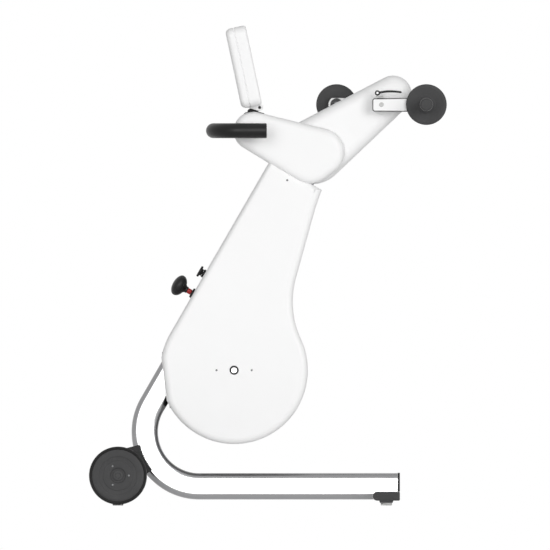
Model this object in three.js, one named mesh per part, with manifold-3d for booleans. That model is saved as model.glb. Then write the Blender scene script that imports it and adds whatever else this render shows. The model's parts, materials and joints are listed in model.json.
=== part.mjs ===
// Active passive trainer: a motor-driven arm trainer on a height-adjustable column.
// Millimetres, +Z up. The user sits on the +X side; left is the user's left, at -Y.
// The origin is under the middle of the whole object, on the floor.

import * as THREE from 'three';
import { mergeVertices } from 'three/addons/utils/BufferGeometryUtils.js';
import Module from 'manifold-3d';

const wasm = await Module();
wasm.setup();

// Shared fits
const seatGap = 0.3;
const fitGap = 0.5;
const runGap = 1;
const cutOverrun = 20;
const edgeChamfer = 1;
const weldDistance = 0.001;
const arcStepDeg = 15;
const cornerStepDeg = 30;
const coarseStepDeg = 45;
const drumStepDeg = 12;
const neckStepDeg = 9;
const outerRimSteps = 3;
const innerRimSteps = 1;
const roundSides = 12;
const smallSides = 8;
const wheelSides = 16;

// Base tube: a flat-oval tube bent once, with its long side upright
const tubeHeight = 66;
const tubeThickness = 30;
const tubeWall = 3;
const tubeCornerRadius = 13;
const tubeBendRadius = 136;
const legLeanDeg = 30;
const tubeBottomZ = 15;
const bendX = -171.8;
const tubeFrontX = 324;
const legLength = 640;
const tubeCapThickness = 6;
const tubePlugLength = 15;
const tubeCapLip = 1;
const bendSteps = 10;

// Front cross bar with its end caps, feet and pads
const barBackX = 262;
const barFrontX = 330;
const barBottomZ = 12;
const barHeight = 22.5;
const barHalfLength = 276;
const barWall = 2.5;
const barFrontCornerRadius = 3;
const barCapThickness = 7.5;
const barPlugLength = 18;
const footCentreX = 296;
const footTopLength = 36;
const footBottomLength = 32;
const footWidth = 40;
const frontPadLength = 28;
const frontPadWidth = 32;
const frontPadHeight = 6.2;
const frontPadEdgeRadius = 2;

// Rear wheels, axle and carrier
const axleX = -374.75;
const axleZ = 74.8;
const axleRadius = 6;
const axleHeadRadius = 12.5;
const axleHeadThickness = 3;
const wheelRadius = 72.5;
const wheelWidth = 32;
const wheelCentreY = 204;
const tyreThickness = 7;
const tyreCrown = 3;
const rimDish = 5;
const rimBossRadius = 32;
const rimInnerBossRadius = 20;
const rimWebRadius = 52;
const rimWebInset = 10;
const beamRadius = 18;
const beamWrap = 2;
const beamWrapFromDeg = 110;
const beamWrapToDeg = 270;
const beamStepDeg = 20;
const saddleStepDeg = 4;
const saddleHalfWidth = 20;
const saddleDepth = 14.5;
const saddleTopDeg = 193.5;
const saddleBottomDeg = 217.5;
const saddleTopReach = 16;
const rearPostY = 158;
const rearPostRadius = 11;
const rearPadRadius = 14;
const rearPadTaper = 1;
const rearPadHeight = 6.2;

// Column housing: two shells with a round drum below, in the frame of the tube's leg
const housingHalfWidth = 70;
const housingWall = 3.5;
const housingEdgeRadius = 16;
const housingInnerSteps = 2;
const drumRadius = 184.5;
const legShaftAlong = 177.2;
const legShaftAcross = 134.5;
const columnAboveLeg = 37;
const columnTopWidth = 149.7;
const frontEdgeDeg = 14.5;
const flareLength = 58;
const frontEdgeTopInset = 11;
const flareAcrossShare = 0.7;
const flareDropShare = 0.48;
const flareSteps = 3;
const neckRadius = 223;
const mouthTop = 114.1;
const mouthBottom = 28.2;

// Chassis: two steel side plates with ties
const plateInnerY = 53;
const plateThickness = 4;
const tieRadius = 6;
const lugRadius = 38;
const lugFootShare = 1.3;
const headLugHalf = 16;
const headLugBack = 14;
const plateInset = 3.5;
const plateTrayMargin = 8;
const plateMouthRise = 24;
const plateTopDrop = 30;
const plateNarrowRadius = 9;
const plateMiddleRadius = 18;
const plateWideRadius = 40;
const plateDrumShares = [[0.54, -0.365], [0.43, 0.36], [0.085, 0.83]];
const drumTieShares = [[0.436, -0.311], [-0.393, -0.373]];
const topTieAcross = -3.7;
const topTieDrop = 22.3;
const frontTieAcross = 95;
const motorTieBack = 40;
const motorTieDrop = 70;
const backTieThickness = 4;
const backTieAcross = -41;
const backTieBelowKnob = 34;
const backTieAbovePlunger = 29.5;

// Screw bosses inside the shells, which seat them on the chassis plates
const screwBossRadius = 6;
const drumScrewOrbit = 44;
const columnScrewAcross = 11.9;
const columnScrewDrop = 22;

// Guides round the tube's leg
const guideHalf = 43.5;
const guideLowTop = 172;
const guideLowBackZ = 125;
const guideLowFrontZ = 14;
const upperGuideZ = 440;
const upperGuideHeight = 50;
const mouthBackDrop = 20;
const mouthFrontDrop = 60;

// Leg drive
const legShaftRadius = 10;
const legShaftEndRadius = 7.5;
const legShaftProud = 1.5;
const legBearingRadius = 14;
const legBearingFlangeRadius = 19;
const legBearingFlange = 5;
const legBearingNoseRadius = 11;
const bearingStep = 3;
const legPulleyRadius = 80;
const motorPulleyRadius = 20;
const pulleyCentreY = 37;
const pulleyWidth = 18;
const beltWidth = 14;
const beltThickness = 4;
const beltStepDeg = 11.25;
const pulleyHubRadius = 22;
const pulleyWebThickness = 6;
const pulleyRimThickness = 7;
const pulleyHoleRadius = 12;
const pulleyHoleOrbit = 46;
const pulleyHoleCount = 5;
const motorAlongShare = 0.591;
const motorAcross = 100;
const motorRadius = 45;
const motorInnerY = 22;
const motorShaftRadius = 6;
const motorBoreDepth = 24;
const motorNoseRadius = 15;
const motorEdge = 4;
const motorBackShare = 0.6;

// Power unit and mains inlet
const powerLow = 26;
const powerHigh = 86;
const powerBack = 92;
const powerFront = 196;
const powerHalfWidth = 52.5;
const powerCornerRadius = 6;
const powerEdge = 2;
const inletDeg = -100;
const inletLength = 28;
const inletHalfWidth = 12;
const inletDepth = 24;
const inletSocketDepth = 16;
const inletSocketWall = 3;
const inletPinHalf = 2;
const inletPinPitch = 7;

// Clamp knob, spindle, shoe and pull plunger on the back of the column
const knobAlong = 292;
const knobRadius = 27;
const knobThickness = 38;
const knobCentreAcross = -88;
const knobNeckRadius = 8;
const knobDomeHeight = 15;
const knobDomeSteps = 5;
const knobSkirtShares = [[0.37, 0.79], [0.8, 0.58], [0.97, 0.21]];
const knobNeckEnd = -67;
const spindleRadius = 5;
const collarRadius = 6.5;
const knobBushRadius = 13.5;
const knobBushFlange = 5;
const knobBushBodyRadius = 9;
const shoeThickness = 4;
const shoeHalf = 16;
const shoeHalfWidth = 10;
const plungerAboveKnob = 56.5;
const plungerCapRadius = 14.5;
const plungerCapThickness = 6;
const plungerCapAcross = -69;
const plungerWaistRadius = 9;
const plungerPinRadius = 4;
const plungerPinEnd = -24;
const sleeveRadius = 11;
const sleeveBodyRadius = 8;
const sleeveFlange = 5;
const sleeveNose = 2;
const plungerCapEdge = 2;
const heightTravel = 120;
const slotMargin = 1;

// Arm: two shells on a frame that turns on the pivot shaft
const armPivotAcross = 31.64;
const armPivotAboveLeg = 108.96;
const armRestDeg = 35.5;
const armLength = 246.3;
const armPivotEndRadius = 81;
const armTipRadius = 47;
const armHalfWidth = 52;
const armWall = 3;
const armEdgeRadius = 14;
const armShaftAlong = 208;
const armShaftDrop = 4;
const pivotShaftRadius = 12;
const pivotTubeRadius = 20;
const armBeamHalfHeight = 20;
const armBeamHalfWidth = 15;
const armMotorRadius = 38;
const armMotorHalfWidth = 30;
const armMotorEdge = 4;
const armCradleWall = 5;
const armShaftRadius = 8;
const armBearingRadius = 20;
const armBearingInnerY = 38;
const armBearingOuterY = 85;
const armBearingFlangeRadius = 25;
const armBearingFlange = 5;
const armShaftInset = 2;

// Cranks, cam levers and hand grips
const crankInnerY = 88;
const crankThickness = 14;
const crankLength = 112.25;
const crankHalfHeight = 16.9;
const crankTail = 22.75;
const crankCornerRadius = 5;
const crankHubRadius = 21;
const crankEdge = 1.5;
const leverPadHeight = 5.3;
const leverPadBack = -15;
const leverPadFront = 6;
const leverX = -10;
const leverZ = 29;
const leverRadius = 6.5;
const leverHalfWidth = 4;
const leverReach = 58;
const leverRise = 2;
const leverCrown = 3;
const leverThickness = 4.6;
const leverTaperShare = 0.25;
const leverSteps = 8;
const gripDiscRadius = 51;
const gripDiscThickness = 9;
const gripHandleRadius = 17;
const gripWaistRadius = 15.6;
const gripHandleLength = 117;
const gripBoreLength = 100;
const gripStandOff = 4;
const gripDiscEdge = 3;
const gripTipEdge = 6;
const gripBulgeShares = [0.35, 0.65];
const gripPinRadius = 6;
const gripPinHeadRadius = 17.5;
const gripPinHeadThickness = 3.4;
const gripShoulderRadius = 10;

// Head: two shells that cap the column, placed from the arm's pivot
const headHalfWidth = 78;
const headWall = 3;
const headEdgeRadius = 18;
const headBackBehind = 149.55;
const headBackRise = 51.45;
const headBackRadius = 48.25;
const headTopAhead = 18.7;
const headTopDrop = 1.8;
const headTopRadius = 60;
const headLowBehind = 7.55;
const headLowDrop = 15.3;
const headLowRadius = 65;
const forkHalfWidth = 58;
const forkRadius = 85;
const forkTiltDeg = 56;
const forkReach = 260;
const forkWrapDeg = 120;
const forkOpenShare = 1.2;

// Display on its hinge, placed from the arm's pivot
const displayPinBehind = 133.05;
const displayPinRise = 110.2;
const displayLeanDeg = 12;
const displayBackFace = -44.5;
const displayFrontFace = 8;
const displaySeam = -22;
const displayLow = 10;
const displayHigh = 209;
const displayHalfWidth = 140;
const displayCornerRadius = 20;
const displayEdgeRadius = 8;
const displayWall = 3;
const screenHalfWidth = 123;
const screenLow = 27;
const screenHigh = 190;
const screenLap = 4;
const screenThickness = 3;
const screenCornerRadius = 4;
const hingePinRadius = 4;
const hingeBarrelRadius = 9;
const hingeBackBehind = 158.3;
const hingeBackRise = 101.2;
const hingeBackRadius = 5;
const hingeHalfWidth = 45;
const hingeStemHalfLength = 10;
const hingeStemHalfWidth = 20;
const hingeLugWidth = 14;
const hingeLugReach = 12;
const hingeLugRadius = 6;
const hingeLugStepDeg = 24;
const headTieRadius = 10;

// Handlebar, placed from the arm's pivot
const handlebarRise = 52.2;
const handlebarEndBehind = 115.1;
const handlebarBackBehind = 248.3;
const handlebarHalfWidth = 151;
const handlebarBend = 70;
const handlebarSteps = 5;
const sleeveOuterRadius = 18.75;
const steelRadius = 14;
const handlebarSides = 10;
const bracketRadius = 14;

const Z_AXIS = new THREE.Vector3(0, 0, 1);
const deg = THREE.MathUtils.degToRad;

// Finishes
const finish = (color, roughness, metalness) => ({ color, roughness, metalness });
const finishes = {
  white: finish(0xf4f4f4, 0.28, 0),
  steel: finish(0xc8cacc, 0.22, 1),
  darkSteel: finish(0x6b6e72, 0.45, 1),
  black: finish(0x161616, 0.5, 0),
  darkGrey: finish(0x343434, 0.6, 0),
  lightGrey: finish(0xb4b4b2, 0.7, 0),
  red: finish(0xb01818, 0.4, 0),
  glass: finish(0x10161c, 0.08, 0),
  rubber: finish(0x1c1c1c, 0.8, 0),
};

// Six times the signed volume of a triangle mesh, negative when its faces point inwards
function signedVolume(positions, corners) {
  const at = (i) => new THREE.Vector3().fromArray(positions, 3 * corners[i]);
  let sum = 0;
  for (let i = 0; i < corners.length; i += 3) {
    sum += at(i).dot(at(i + 1).cross(at(i + 2)));
  }
  return sum;
}

// From a closed three.js geometry to a solid with its faces outwards, and back
function solid(geometry) {
  const bare = geometry.clone();
  bare.deleteAttribute('normal');
  bare.deleteAttribute('uv');
  const merged = mergeVertices(bare, weldDistance);
  const corners = Array.from(merged.index.array);
  const kept = [];
  for (let i = 0; i < corners.length; i += 3) {
    const [a, b, c] = corners.slice(i, i + 3);
    if (a !== b && b !== c && c !== a) kept.push(a, b, c);
  }
  if (signedVolume(merged.attributes.position.array, kept) < 0) kept.reverse();
  return new wasm.Manifold(new wasm.Mesh({
    numProp: 3,
    vertProperties: Float32Array.from(merged.attributes.position.array),
    triVerts: Uint32Array.from(kept),
  }));
}

function toGeometry(body) {
  const mesh = body.getMesh();
  const geometry = new THREE.BufferGeometry();
  geometry.setAttribute('position', new THREE.BufferAttribute(Float32Array.from(mesh.vertProperties), 3));
  geometry.setIndex(new THREE.BufferAttribute(Uint32Array.from(mesh.triVerts), 1));
  geometry.computeVertexNormals();
  return geometry;
}

function joined(...bodies) {
  return bodies.reduce((whole, body) => whole.add(body));
}

function cut(body, ...cutters) {
  return cutters.reduce((rest, cutter) => rest.subtract(cutter), body);
}

// Outlines in the side plane, each a list of Vector2 running counter-clockwise
const point = (x, z) => new THREE.Vector2(x, z);

function arc(centre, radius, fromDeg, toDeg, stepDeg = arcStepDeg) {
  const steps = Math.max(1, Math.ceil(Math.abs(toDeg - fromDeg) / stepDeg));
  return Array.from({ length: steps + 1 }, (_, i) => {
    const angle = deg(fromDeg + (toDeg - fromDeg) * i / steps);
    return point(centre.x + radius * Math.cos(angle), centre.y + radius * Math.sin(angle));
  });
}

// The tight outline round circles given as [x, z, radius], in counter-clockwise order
function hull(circles, grow = 0, stepDeg = arcStepDeg) {
  const grown = circles.map(([x, z, r]) => ({ centre: point(x, z), radius: r + grow }));
  const normals = grown.map((circle, i) => {
    const next = grown[(i + 1) % grown.length];
    const run = next.centre.clone().sub(circle.centre);
    const slope = Math.acos((circle.radius - next.radius) / run.length());
    return THREE.MathUtils.radToDeg(run.angle() - slope);
  });
  return grown.flatMap((circle, i) => {
    const arriving = normals[(i + grown.length - 1) % grown.length];
    const turn = THREE.MathUtils.euclideanModulo(normals[i] - arriving, 360);
    return arc(circle.centre, circle.radius, arriving, arriving + turn, stepDeg);
  });
}

// A polygon with rounded corners given as [x, z, radius], grown outwards by an offset
function rounded(corners, grow = 0, stepDeg = cornerStepDeg) {
  const count = corners.length;
  const at = (i) => point(corners[(i + count) % count][0], corners[(i + count) % count][1]);
  const along = (i) => at(i + 1).sub(at(i)).normalize();
  return corners.flatMap(([x, z, radius], i) => {
    const before = along(i - 1);
    const after = along(i);
    const turn = Math.atan2(before.cross(after), before.dot(after));
    const half = Math.tan(turn / 2);
    const corner = point(x + grow * (before.y + half * before.x), z + grow * (half * before.y - before.x));
    const r = Math.max(0, radius + Math.sign(turn) * grow);
    const side = Math.sign(turn);
    const start = corner.clone().addScaledVector(before, -r * Math.abs(half));
    const centre = point(start.x - before.y * r * side, start.y + before.x * r * side);
    const startDeg = THREE.MathUtils.radToDeg(Math.atan2(start.y - centre.y, start.x - centre.x));
    if (r === 0) return [corner];
    return arc(centre, r, startDeg, startDeg + THREE.MathUtils.radToDeg(turn), stepDeg);
  });
}

const box2 = (x0, x1, z0, z1) => [point(x0, z0), point(x1, z0), point(x1, z1), point(x0, z1)];

// A side-plane outline made solid from yLow to yHigh, with its rims rounded where asked
function slab(outline, yLow, yHigh, rim = 0, inset = 0, rimSegments = outerRimSteps) {
  const shape = new THREE.Shape(outline);
  const depth = yHigh - yLow - 2 * rim;
  const geometry = new THREE.ExtrudeGeometry(shape, {
    depth,
    steps: 1,
    bevelEnabled: rim > 0,
    bevelThickness: rim,
    bevelSize: rim,
    bevelOffset: -rim - inset,
    bevelSegments: rimSegments,
  });
  geometry.rotateX(Math.PI / 2);
  geometry.translate(0, yHigh - rim, 0);
  return solid(geometry);
}

function midSlab(outline, halfWidth, rim = 0, inset = 0, rimSegments = outerRimSteps) {
  return slab(outline, -halfWidth, halfWidth, rim, inset, rimSegments);
}

// A round bar or disc across the object, from yLow to yHigh
function rod(radius, yLow, yHigh, x = 0, z = 0, sides = roundSides) {
  const geometry = new THREE.CylinderGeometry(radius, radius, yHigh - yLow, sides);
  geometry.translate(x, (yLow + yHigh) / 2, z);
  return solid(geometry);
}

// The radius of a bore whose flats clear a shaft at every angle
function clearing(shaftRadius, sides = roundSides) {
  return (shaftRadius + seatGap) / Math.cos(Math.PI / sides);
}

// A profile of [radius, y] turned round the Y axis; it closes on itself
function turned(profile, sides = roundSides) {
  const closed = [...profile, profile[0]].map(([r, y]) => point(r, y));
  return solid(new THREE.LatheGeometry(closed, sides));
}

// A profile of [radius, across] turned round the leg frame's X axis at a height along the leg
function turnedAcross(profile, along, sides = roundSides) {
  const closed = [...profile, profile[0]].map(([r, x]) => point(r, -x));
  const geometry = new THREE.LatheGeometry(closed, sides);
  geometry.rotateZ(Math.PI / 2);
  geometry.translate(0, 0, along);
  return solid(geometry);
}

function block(x0, x1, y0, y1, z0, z1) {
  const geometry = new THREE.BoxGeometry(x1 - x0, y1 - y0, z1 - z0);
  geometry.translate((x0 + x1) / 2, (y0 + y1) / 2, (z0 + z1) / 2);
  return solid(geometry);
}

// Sweep of a closed section along a path in one plane: the section's first axis lies in the plane
function swept(section, path, binormal) {
  const rings = path.points.map((place, i) => {
    const across = new THREE.Vector3().crossVectors(binormal, path.tangents[i]).normalize();
    return section.map((p) => place.clone().addScaledVector(across, p.x).addScaledVector(binormal, p.y));
  });
  const positions = rings.flat().flatMap((p) => [p.x, p.y, p.z]);
  const count = section.length;
  const faces = [];
  for (let i = 0; i + 1 < rings.length; i += 1) {
    for (let j = 0; j < count; j += 1) {
      const k = (j + 1) % count;
      const [a, b, c, d] = [i * count + j, i * count + k, (i + 1) * count + k, (i + 1) * count + j];
      faces.push(a, b, c, a, c, d);
    }
  }
  const cap = THREE.ShapeUtils.triangulateShape(section, []);
  const last = (rings.length - 1) * count;
  for (const [a, b, c] of cap) {
    faces.push(c, b, a, last + a, last + b, last + c);
  }
  const geometry = new THREE.BufferGeometry();
  geometry.setAttribute('position', new THREE.Float32BufferAttribute(positions, 3));
  geometry.setIndex(faces);
  return solid(geometry);
}

// Scene graph: the groups that the pieces stand in
const part = new THREE.Group();
const legPlace = new THREE.Group();
const armPlace = new THREE.Group();
const crankPlace = new THREE.Group();
const displayPlace = new THREE.Group();

function add(group, name, look, body) {
  const material = new THREE.MeshStandardMaterial(look);
  const mesh = new THREE.Mesh(toGeometry(body), material);
  mesh.name = name;
  group.add(mesh);
}

const sides = [['left', -1], ['right', 1]];
const mirrored = (body, side) => (side < 0 ? body.mirror([0, 1, 0]) : body);

// Places that follow from the sizes above
const tubeMidZ = tubeBottomZ + tubeHeight / 2;
const bendCentre = point(bendX, tubeMidZ + tubeBendRadius);
const leanSin = Math.sin(deg(legLeanDeg));
const leanCos = Math.cos(deg(legLeanDeg));
const legStart = point(bendCentre.x - tubeBendRadius * leanCos, bendCentre.y + tubeBendRadius * leanSin);
legPlace.position.set(legStart.x, 0, legStart.y);
legPlace.rotation.y = deg(legLeanDeg);

// World side-plane places in the frame of the leg, and back
function toLeg(x, z) {
  const dx = x - legStart.x;
  const dz = z - legStart.y;
  return [dx * leanCos - dz * leanSin, dx * leanSin + dz * leanCos];
}

function fromLeg(across, along) {
  return [legStart.x + across * leanCos + along * leanSin, legStart.y - across * leanSin + along * leanCos];
}

// All above the leg rises with its length
const columnTop = legLength + columnAboveLeg;
const motorAlong = columnTop * motorAlongShare;
const plungerAlong = knobAlong + plungerAboveKnob;
const pivot = [armPivotAcross, legLength + armPivotAboveLeg];
const [armPivotX, armPivotZ] = fromLeg(...pivot);
const headBackX = armPivotX - headBackBehind;
const headBackZ = armPivotZ + headBackRise;
const displayPinX = armPivotX - displayPinBehind;
const displayPinZ = armPivotZ + displayPinRise;
const hingeBackX = armPivotX - hingeBackBehind;
const hingeBackZ = armPivotZ + hingeBackRise;
const handlebarZ = armPivotZ + handlebarRise;
const handlebarEndX = armPivotX - handlebarEndBehind;
const handlebarBackX = armPivotX - handlebarBackBehind;

function intoLeg(geometryBody) {
  legPlace.updateMatrix();
  return geometryBody.transform(legPlace.matrix.clone().invert().elements);
}

// Base tube
function tubeSection(grow) {
  const half = tubeHeight / 2 + grow;
  const side = tubeThickness / 2 + grow;
  const r = tubeCornerRadius + grow;
  return rounded([[-half, -side, r], [half, -side, r], [half, side, r], [-half, side, r]], 0, coarseStepDeg);
}

function tubePath(startX, endAlong) {
  const points = [new THREE.Vector3(startX, 0, tubeMidZ)];
  const tangents = [new THREE.Vector3(-1, 0, 0)];
  for (let i = 0; i <= bendSteps; i += 1) {
    const angle = deg(-90) - deg(90 + legLeanDeg) * i / bendSteps;
    points.push(new THREE.Vector3(
      bendCentre.x + tubeBendRadius * Math.cos(angle), 0, bendCentre.y + tubeBendRadius * Math.sin(angle)));
    tangents.push(new THREE.Vector3(Math.sin(angle), 0, -Math.cos(angle)));
  }
  points.push(new THREE.Vector3(legStart.x + endAlong * leanSin, 0, legStart.y + endAlong * leanCos));
  tangents.push(new THREE.Vector3(leanSin, 0, leanCos));
  return { points, tangents };
}

const acrossAxis = new THREE.Vector3(0, 1, 0);
function tubeSolid(grow, startX, endAlong) {
  return swept(tubeSection(grow), tubePath(startX, endAlong), acrossAxis);
}

function barOutline(grow) {
  const nose = barHeight / 2;
  const z0 = barBottomZ;
  const z1 = barBottomZ + barHeight;
  return rounded([
    [barBackX, z0, nose], [barFrontX, z0, barFrontCornerRadius],
    [barFrontX, z1, barFrontCornerRadius], [barBackX, z1, nose],
  ], grow);
}

function plungerSlot() {
  const half = plungerPinRadius + slotMargin;
  const outline = hull([[0, plungerAlong, half], [0, plungerAlong + heightTravel, half]]);
  const options = { depth: tubeHeight / 2, bevelEnabled: false };
  const geometry = new THREE.ExtrudeGeometry(new THREE.Shape(outline), options);
  geometry.applyMatrix4(new THREE.Matrix4().makeBasis(acrossAxis, Z_AXIS, new THREE.Vector3(1, 0, 0)));
  geometry.translate(-tubeHeight / 2 - cutOverrun, 0, 0);
  const slot = solid(geometry);
  legPlace.updateMatrix();
  return slot.transform(legPlace.matrix.elements);
}

const barCutter = midSlab(barOutline(seatGap), barHalfLength);
const tubeOuter = tubeSolid(0, tubeFrontX, legLength);
const tubeInner = tubeSolid(-tubeWall, tubeFrontX + cutOverrun, legLength + cutOverrun);
add(part, 'base_tube', finishes.steel, cut(tubeOuter, tubeInner, barCutter, plungerSlot()));

function tubeEndCap() {
  const basis = new THREE.Matrix4().makeBasis(Z_AXIS, acrossAxis, new THREE.Vector3(-1, 0, 0));
  const face = new THREE.ExtrudeGeometry(new THREE.Shape(tubeSection(tubeCapLip)), {
    depth: tubeCapThickness - seatGap, bevelEnabled: false });
  face.applyMatrix4(basis);
  face.translate(barFrontX, 0, tubeMidZ);
  const plug = new THREE.ExtrudeGeometry(new THREE.Shape(tubeSection(-tubeWall - seatGap)), {
    depth: tubeCapThickness + tubePlugLength, bevelEnabled: false });
  plug.applyMatrix4(basis);
  plug.translate(barFrontX, 0, tubeMidZ);
  return cut(joined(solid(face), solid(plug)), barCutter);
}
add(part, 'tube_end_cap', finishes.black, tubeEndCap());

// Front cross bar
const barBody = midSlab(barOutline(0), barHalfLength);
const barHollow = midSlab(barOutline(-barWall), barHalfLength + cutOverrun);
add(part, 'front_cross_bar', finishes.darkGrey, cut(barBody, barHollow));

function barEndCap() {
  const capStart = barHalfLength + seatGap;
  const outerEnd = barHalfLength + barCapThickness;
  const plate = slab(barOutline(0), capStart, outerEnd);
  const plug = slab(barOutline(-barWall - seatGap), barHalfLength - barPlugLength, outerEnd);
  const footHigh = barBottomZ - seatGap;
  const footLow = frontPadHeight + seatGap;
  const outline = [
    point(footCentreX - footBottomLength / 2, footLow), point(footCentreX + footBottomLength / 2, footLow),
    point(footCentreX + footTopLength / 2, footHigh), point(footCentreX - footTopLength / 2, footHigh),
  ];
  const foot = slab(outline, outerEnd - footWidth, outerEnd);
  const web = block(footCentreX - footTopLength / 2, footCentreX + footTopLength / 2,
    capStart, outerEnd, footHigh - seatGap, barBottomZ + seatGap);
  return joined(plate, plug, foot, web);
}

function frontPad() {
  const outerEnd = barHalfLength + barCapThickness;
  const y0 = outerEnd - (footWidth + frontPadWidth) / 2;
  const half = frontPadLength / 2;
  const outline = rounded([
    [footCentreX - half, 0, frontPadEdgeRadius], [footCentreX + half, 0, frontPadEdgeRadius],
    [footCentreX + half, frontPadHeight, 0], [footCentreX - half, frontPadHeight, 0]]);
  return slab(outline, y0, y0 + frontPadWidth);
}

// Rear carrier: a saddle on the bend, a cross beam and two foot posts
const ringPoint = (radius, angleDeg) => point(
  bendCentre.x + radius * Math.cos(deg(angleDeg)), bendCentre.y + radius * Math.sin(deg(angleDeg)));

function saddle() {
  const outer = tubeBendRadius + tubeHeight / 2;
  const inner = outer - saddleDepth;
  const wrap = arc(bendCentre, inner, saddleBottomDeg, saddleTopDeg, saddleStepDeg);
  const foot = ringPoint(outer, saddleBottomDeg);
  const top = ringPoint(outer + saddleTopReach, saddleTopDeg);
  const beamReach = beamRadius + beamWrap;
  const beamRound = arc(point(axleX, axleZ), beamReach, beamWrapFromDeg, beamWrapToDeg, beamStepDeg);
  const outline = [...wrap, top, ...beamRound, foot];
  return midSlab(outline.reverse(), saddleHalfWidth);
}

function rearCarrier() {
  const beamEnd = wheelCentreY - wheelWidth / 2 - runGap;
  const beam = rod(beamRadius, -beamEnd, beamEnd, axleX, axleZ, roundSides);
  const posts = sides.map(([, side]) => {
    const height = axleZ - rearPadHeight - seatGap;
    const geometry = new THREE.CylinderGeometry(rearPostRadius, rearPostRadius, height, smallSides);
    geometry.rotateX(Math.PI / 2);
    geometry.translate(axleX, side * rearPostY, (axleZ + rearPadHeight + seatGap) / 2);
    return solid(geometry);
  });
  const bore = rod(axleRadius + seatGap, -beamEnd - cutOverrun, beamEnd + cutOverrun, axleX, axleZ);
  const tubeCutter = tubeSolid(seatGap, tubeFrontX, legLength);
  return cut(joined(saddle(), beam, ...posts), bore, tubeCutter);
}
add(part, 'rear_carrier', finishes.black, rearCarrier());

function rearPad(side) {
  const top = rearPadRadius - rearPadTaper;
  const geometry = new THREE.CylinderGeometry(top, rearPadRadius, rearPadHeight, roundSides);
  geometry.rotateX(Math.PI / 2);
  geometry.translate(axleX, side * rearPostY, rearPadHeight / 2);
  return solid(geometry);
}

// Axle and wheels
const wheelOuterY = wheelCentreY + wheelWidth / 2;
const wheelInnerY = wheelCentreY - wheelWidth / 2;
function rearAxle() {
  const near = wheelOuterY - rimDish + seatGap;
  const far = near + axleHeadThickness;
  const head = rod(axleHeadRadius, near, far, axleX, axleZ);
  return joined(rod(axleRadius, -far, far, axleX, axleZ), head, mirrored(head, -1));
}
add(part, 'rear_axle', finishes.darkGrey, rearAxle());

function rim() {
  const rimRadius = wheelRadius - tyreThickness - seatGap;
  const bore = axleRadius + seatGap;
  const innerWeb = wheelInnerY + rimWebInset;
  const profile = [
    [bore, wheelInnerY], [rimInnerBossRadius, wheelInnerY], [rimInnerBossRadius, innerWeb],
    [rimWebRadius, innerWeb], [rimWebRadius + rimDish, wheelInnerY], [rimRadius, wheelInnerY],
    [rimRadius, wheelOuterY], [rimRadius - rimDish, wheelOuterY], [rimWebRadius, wheelOuterY - rimDish / 2],
    [rimBossRadius, wheelOuterY - rimDish / 2], [rimBossRadius - rimDish / 2, wheelOuterY - rimDish],
    [bore, wheelOuterY - rimDish],
  ];
  return turned(profile, wheelSides);
}

function tyre() {
  const inner = wheelRadius - tyreThickness;
  const profile = [
    [inner, wheelInnerY], [wheelRadius - tyreCrown, wheelInnerY], [wheelRadius, wheelInnerY + tyreCrown],
    [wheelRadius, wheelOuterY - tyreCrown], [wheelRadius - tyreCrown, wheelOuterY], [inner, wheelOuterY],
  ];
  return turned(profile, wheelSides);
}

for (const [name, side] of sides) {
  add(part, `cross_bar_cap_${name}`, finishes.black, mirrored(barEndCap(), side));
  add(part, `front_pad_${name}`, finishes.lightGrey, mirrored(frontPad(), side));
  add(part, `rear_pad_${name}`, finishes.lightGrey, rearPad(side));
  const wheel = new THREE.Group();
  wheel.position.set(axleX, 0, axleZ);
  part.add(wheel);
  add(wheel, `rim_${name}`, finishes.darkGrey, mirrored(rim(), side));
  add(wheel, `tyre_${name}`, finishes.rubber, mirrored(tyre(), side));
}

// Column housing outline in the leg frame
const legShaft = point(legShaftAcross, legShaftAlong);
const backEdge = legShaftAcross - drumRadius;

function housingOutline() {
  const topFront = backEdge + columnTopWidth;
  const flareStart = point(topFront + frontEdgeTopInset, columnTop - flareLength);
  const normal = point(Math.cos(deg(frontEdgeDeg)), Math.sin(deg(frontEdgeDeg)));
  const upward = point(-normal.y, normal.x);
  const offset = flareStart.dot(normal) + neckRadius - legShaft.dot(normal);
  const reach = drumRadius + neckRadius;
  const rise = Math.sqrt(reach * reach - offset * offset);
  const neck = legShaft.clone().addScaledVector(normal, offset).addScaledVector(upward, rise);
  const toNeck = neck.clone().sub(legShaft);
  const drumEndDeg = THREE.MathUtils.radToDeg(toNeck.angle());
  const neckStartDeg = drumEndDeg + 180;
  const neckEndDeg = 180 + frontEdgeDeg;
  const mouthSine = (along) => (legShaftAlong - along) / drumRadius;
  const mouthAngle = (along) => 180 + THREE.MathUtils.radToDeg(Math.asin(mouthSine(along)));
  const bendAcross = flareStart.x - frontEdgeTopInset * flareAcrossShare;
  const bend = point(bendAcross, columnTop - flareLength * flareDropShare);
  const flare = new THREE.QuadraticBezierCurve(flareStart, bend, point(topFront, columnTop));
  return [
    ...arc(legShaft, drumRadius, mouthAngle(mouthBottom) - 360, drumEndDeg, drumStepDeg),
    ...arc(neck, neckRadius, neckStartDeg, neckEndDeg, neckStepDeg).slice(1),
    ...flare.getPoints(flareSteps),
    point(backEdge, columnTop),
    ...arc(legShaft, drumRadius, 180, mouthAngle(mouthTop), drumStepDeg),
  ];
}

const housing = housingOutline();
const housingOuter = (grow) => midSlab(housing, housingHalfWidth + grow, housingEdgeRadius, -grow);
const housingInner = midSlab(
  housing, housingHalfWidth - housingWall, housingEdgeRadius, housingWall, housingInnerSteps);

// Chassis plate outline in the leg frame
const headBack = toLeg(headBackX, headBackZ);

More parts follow.
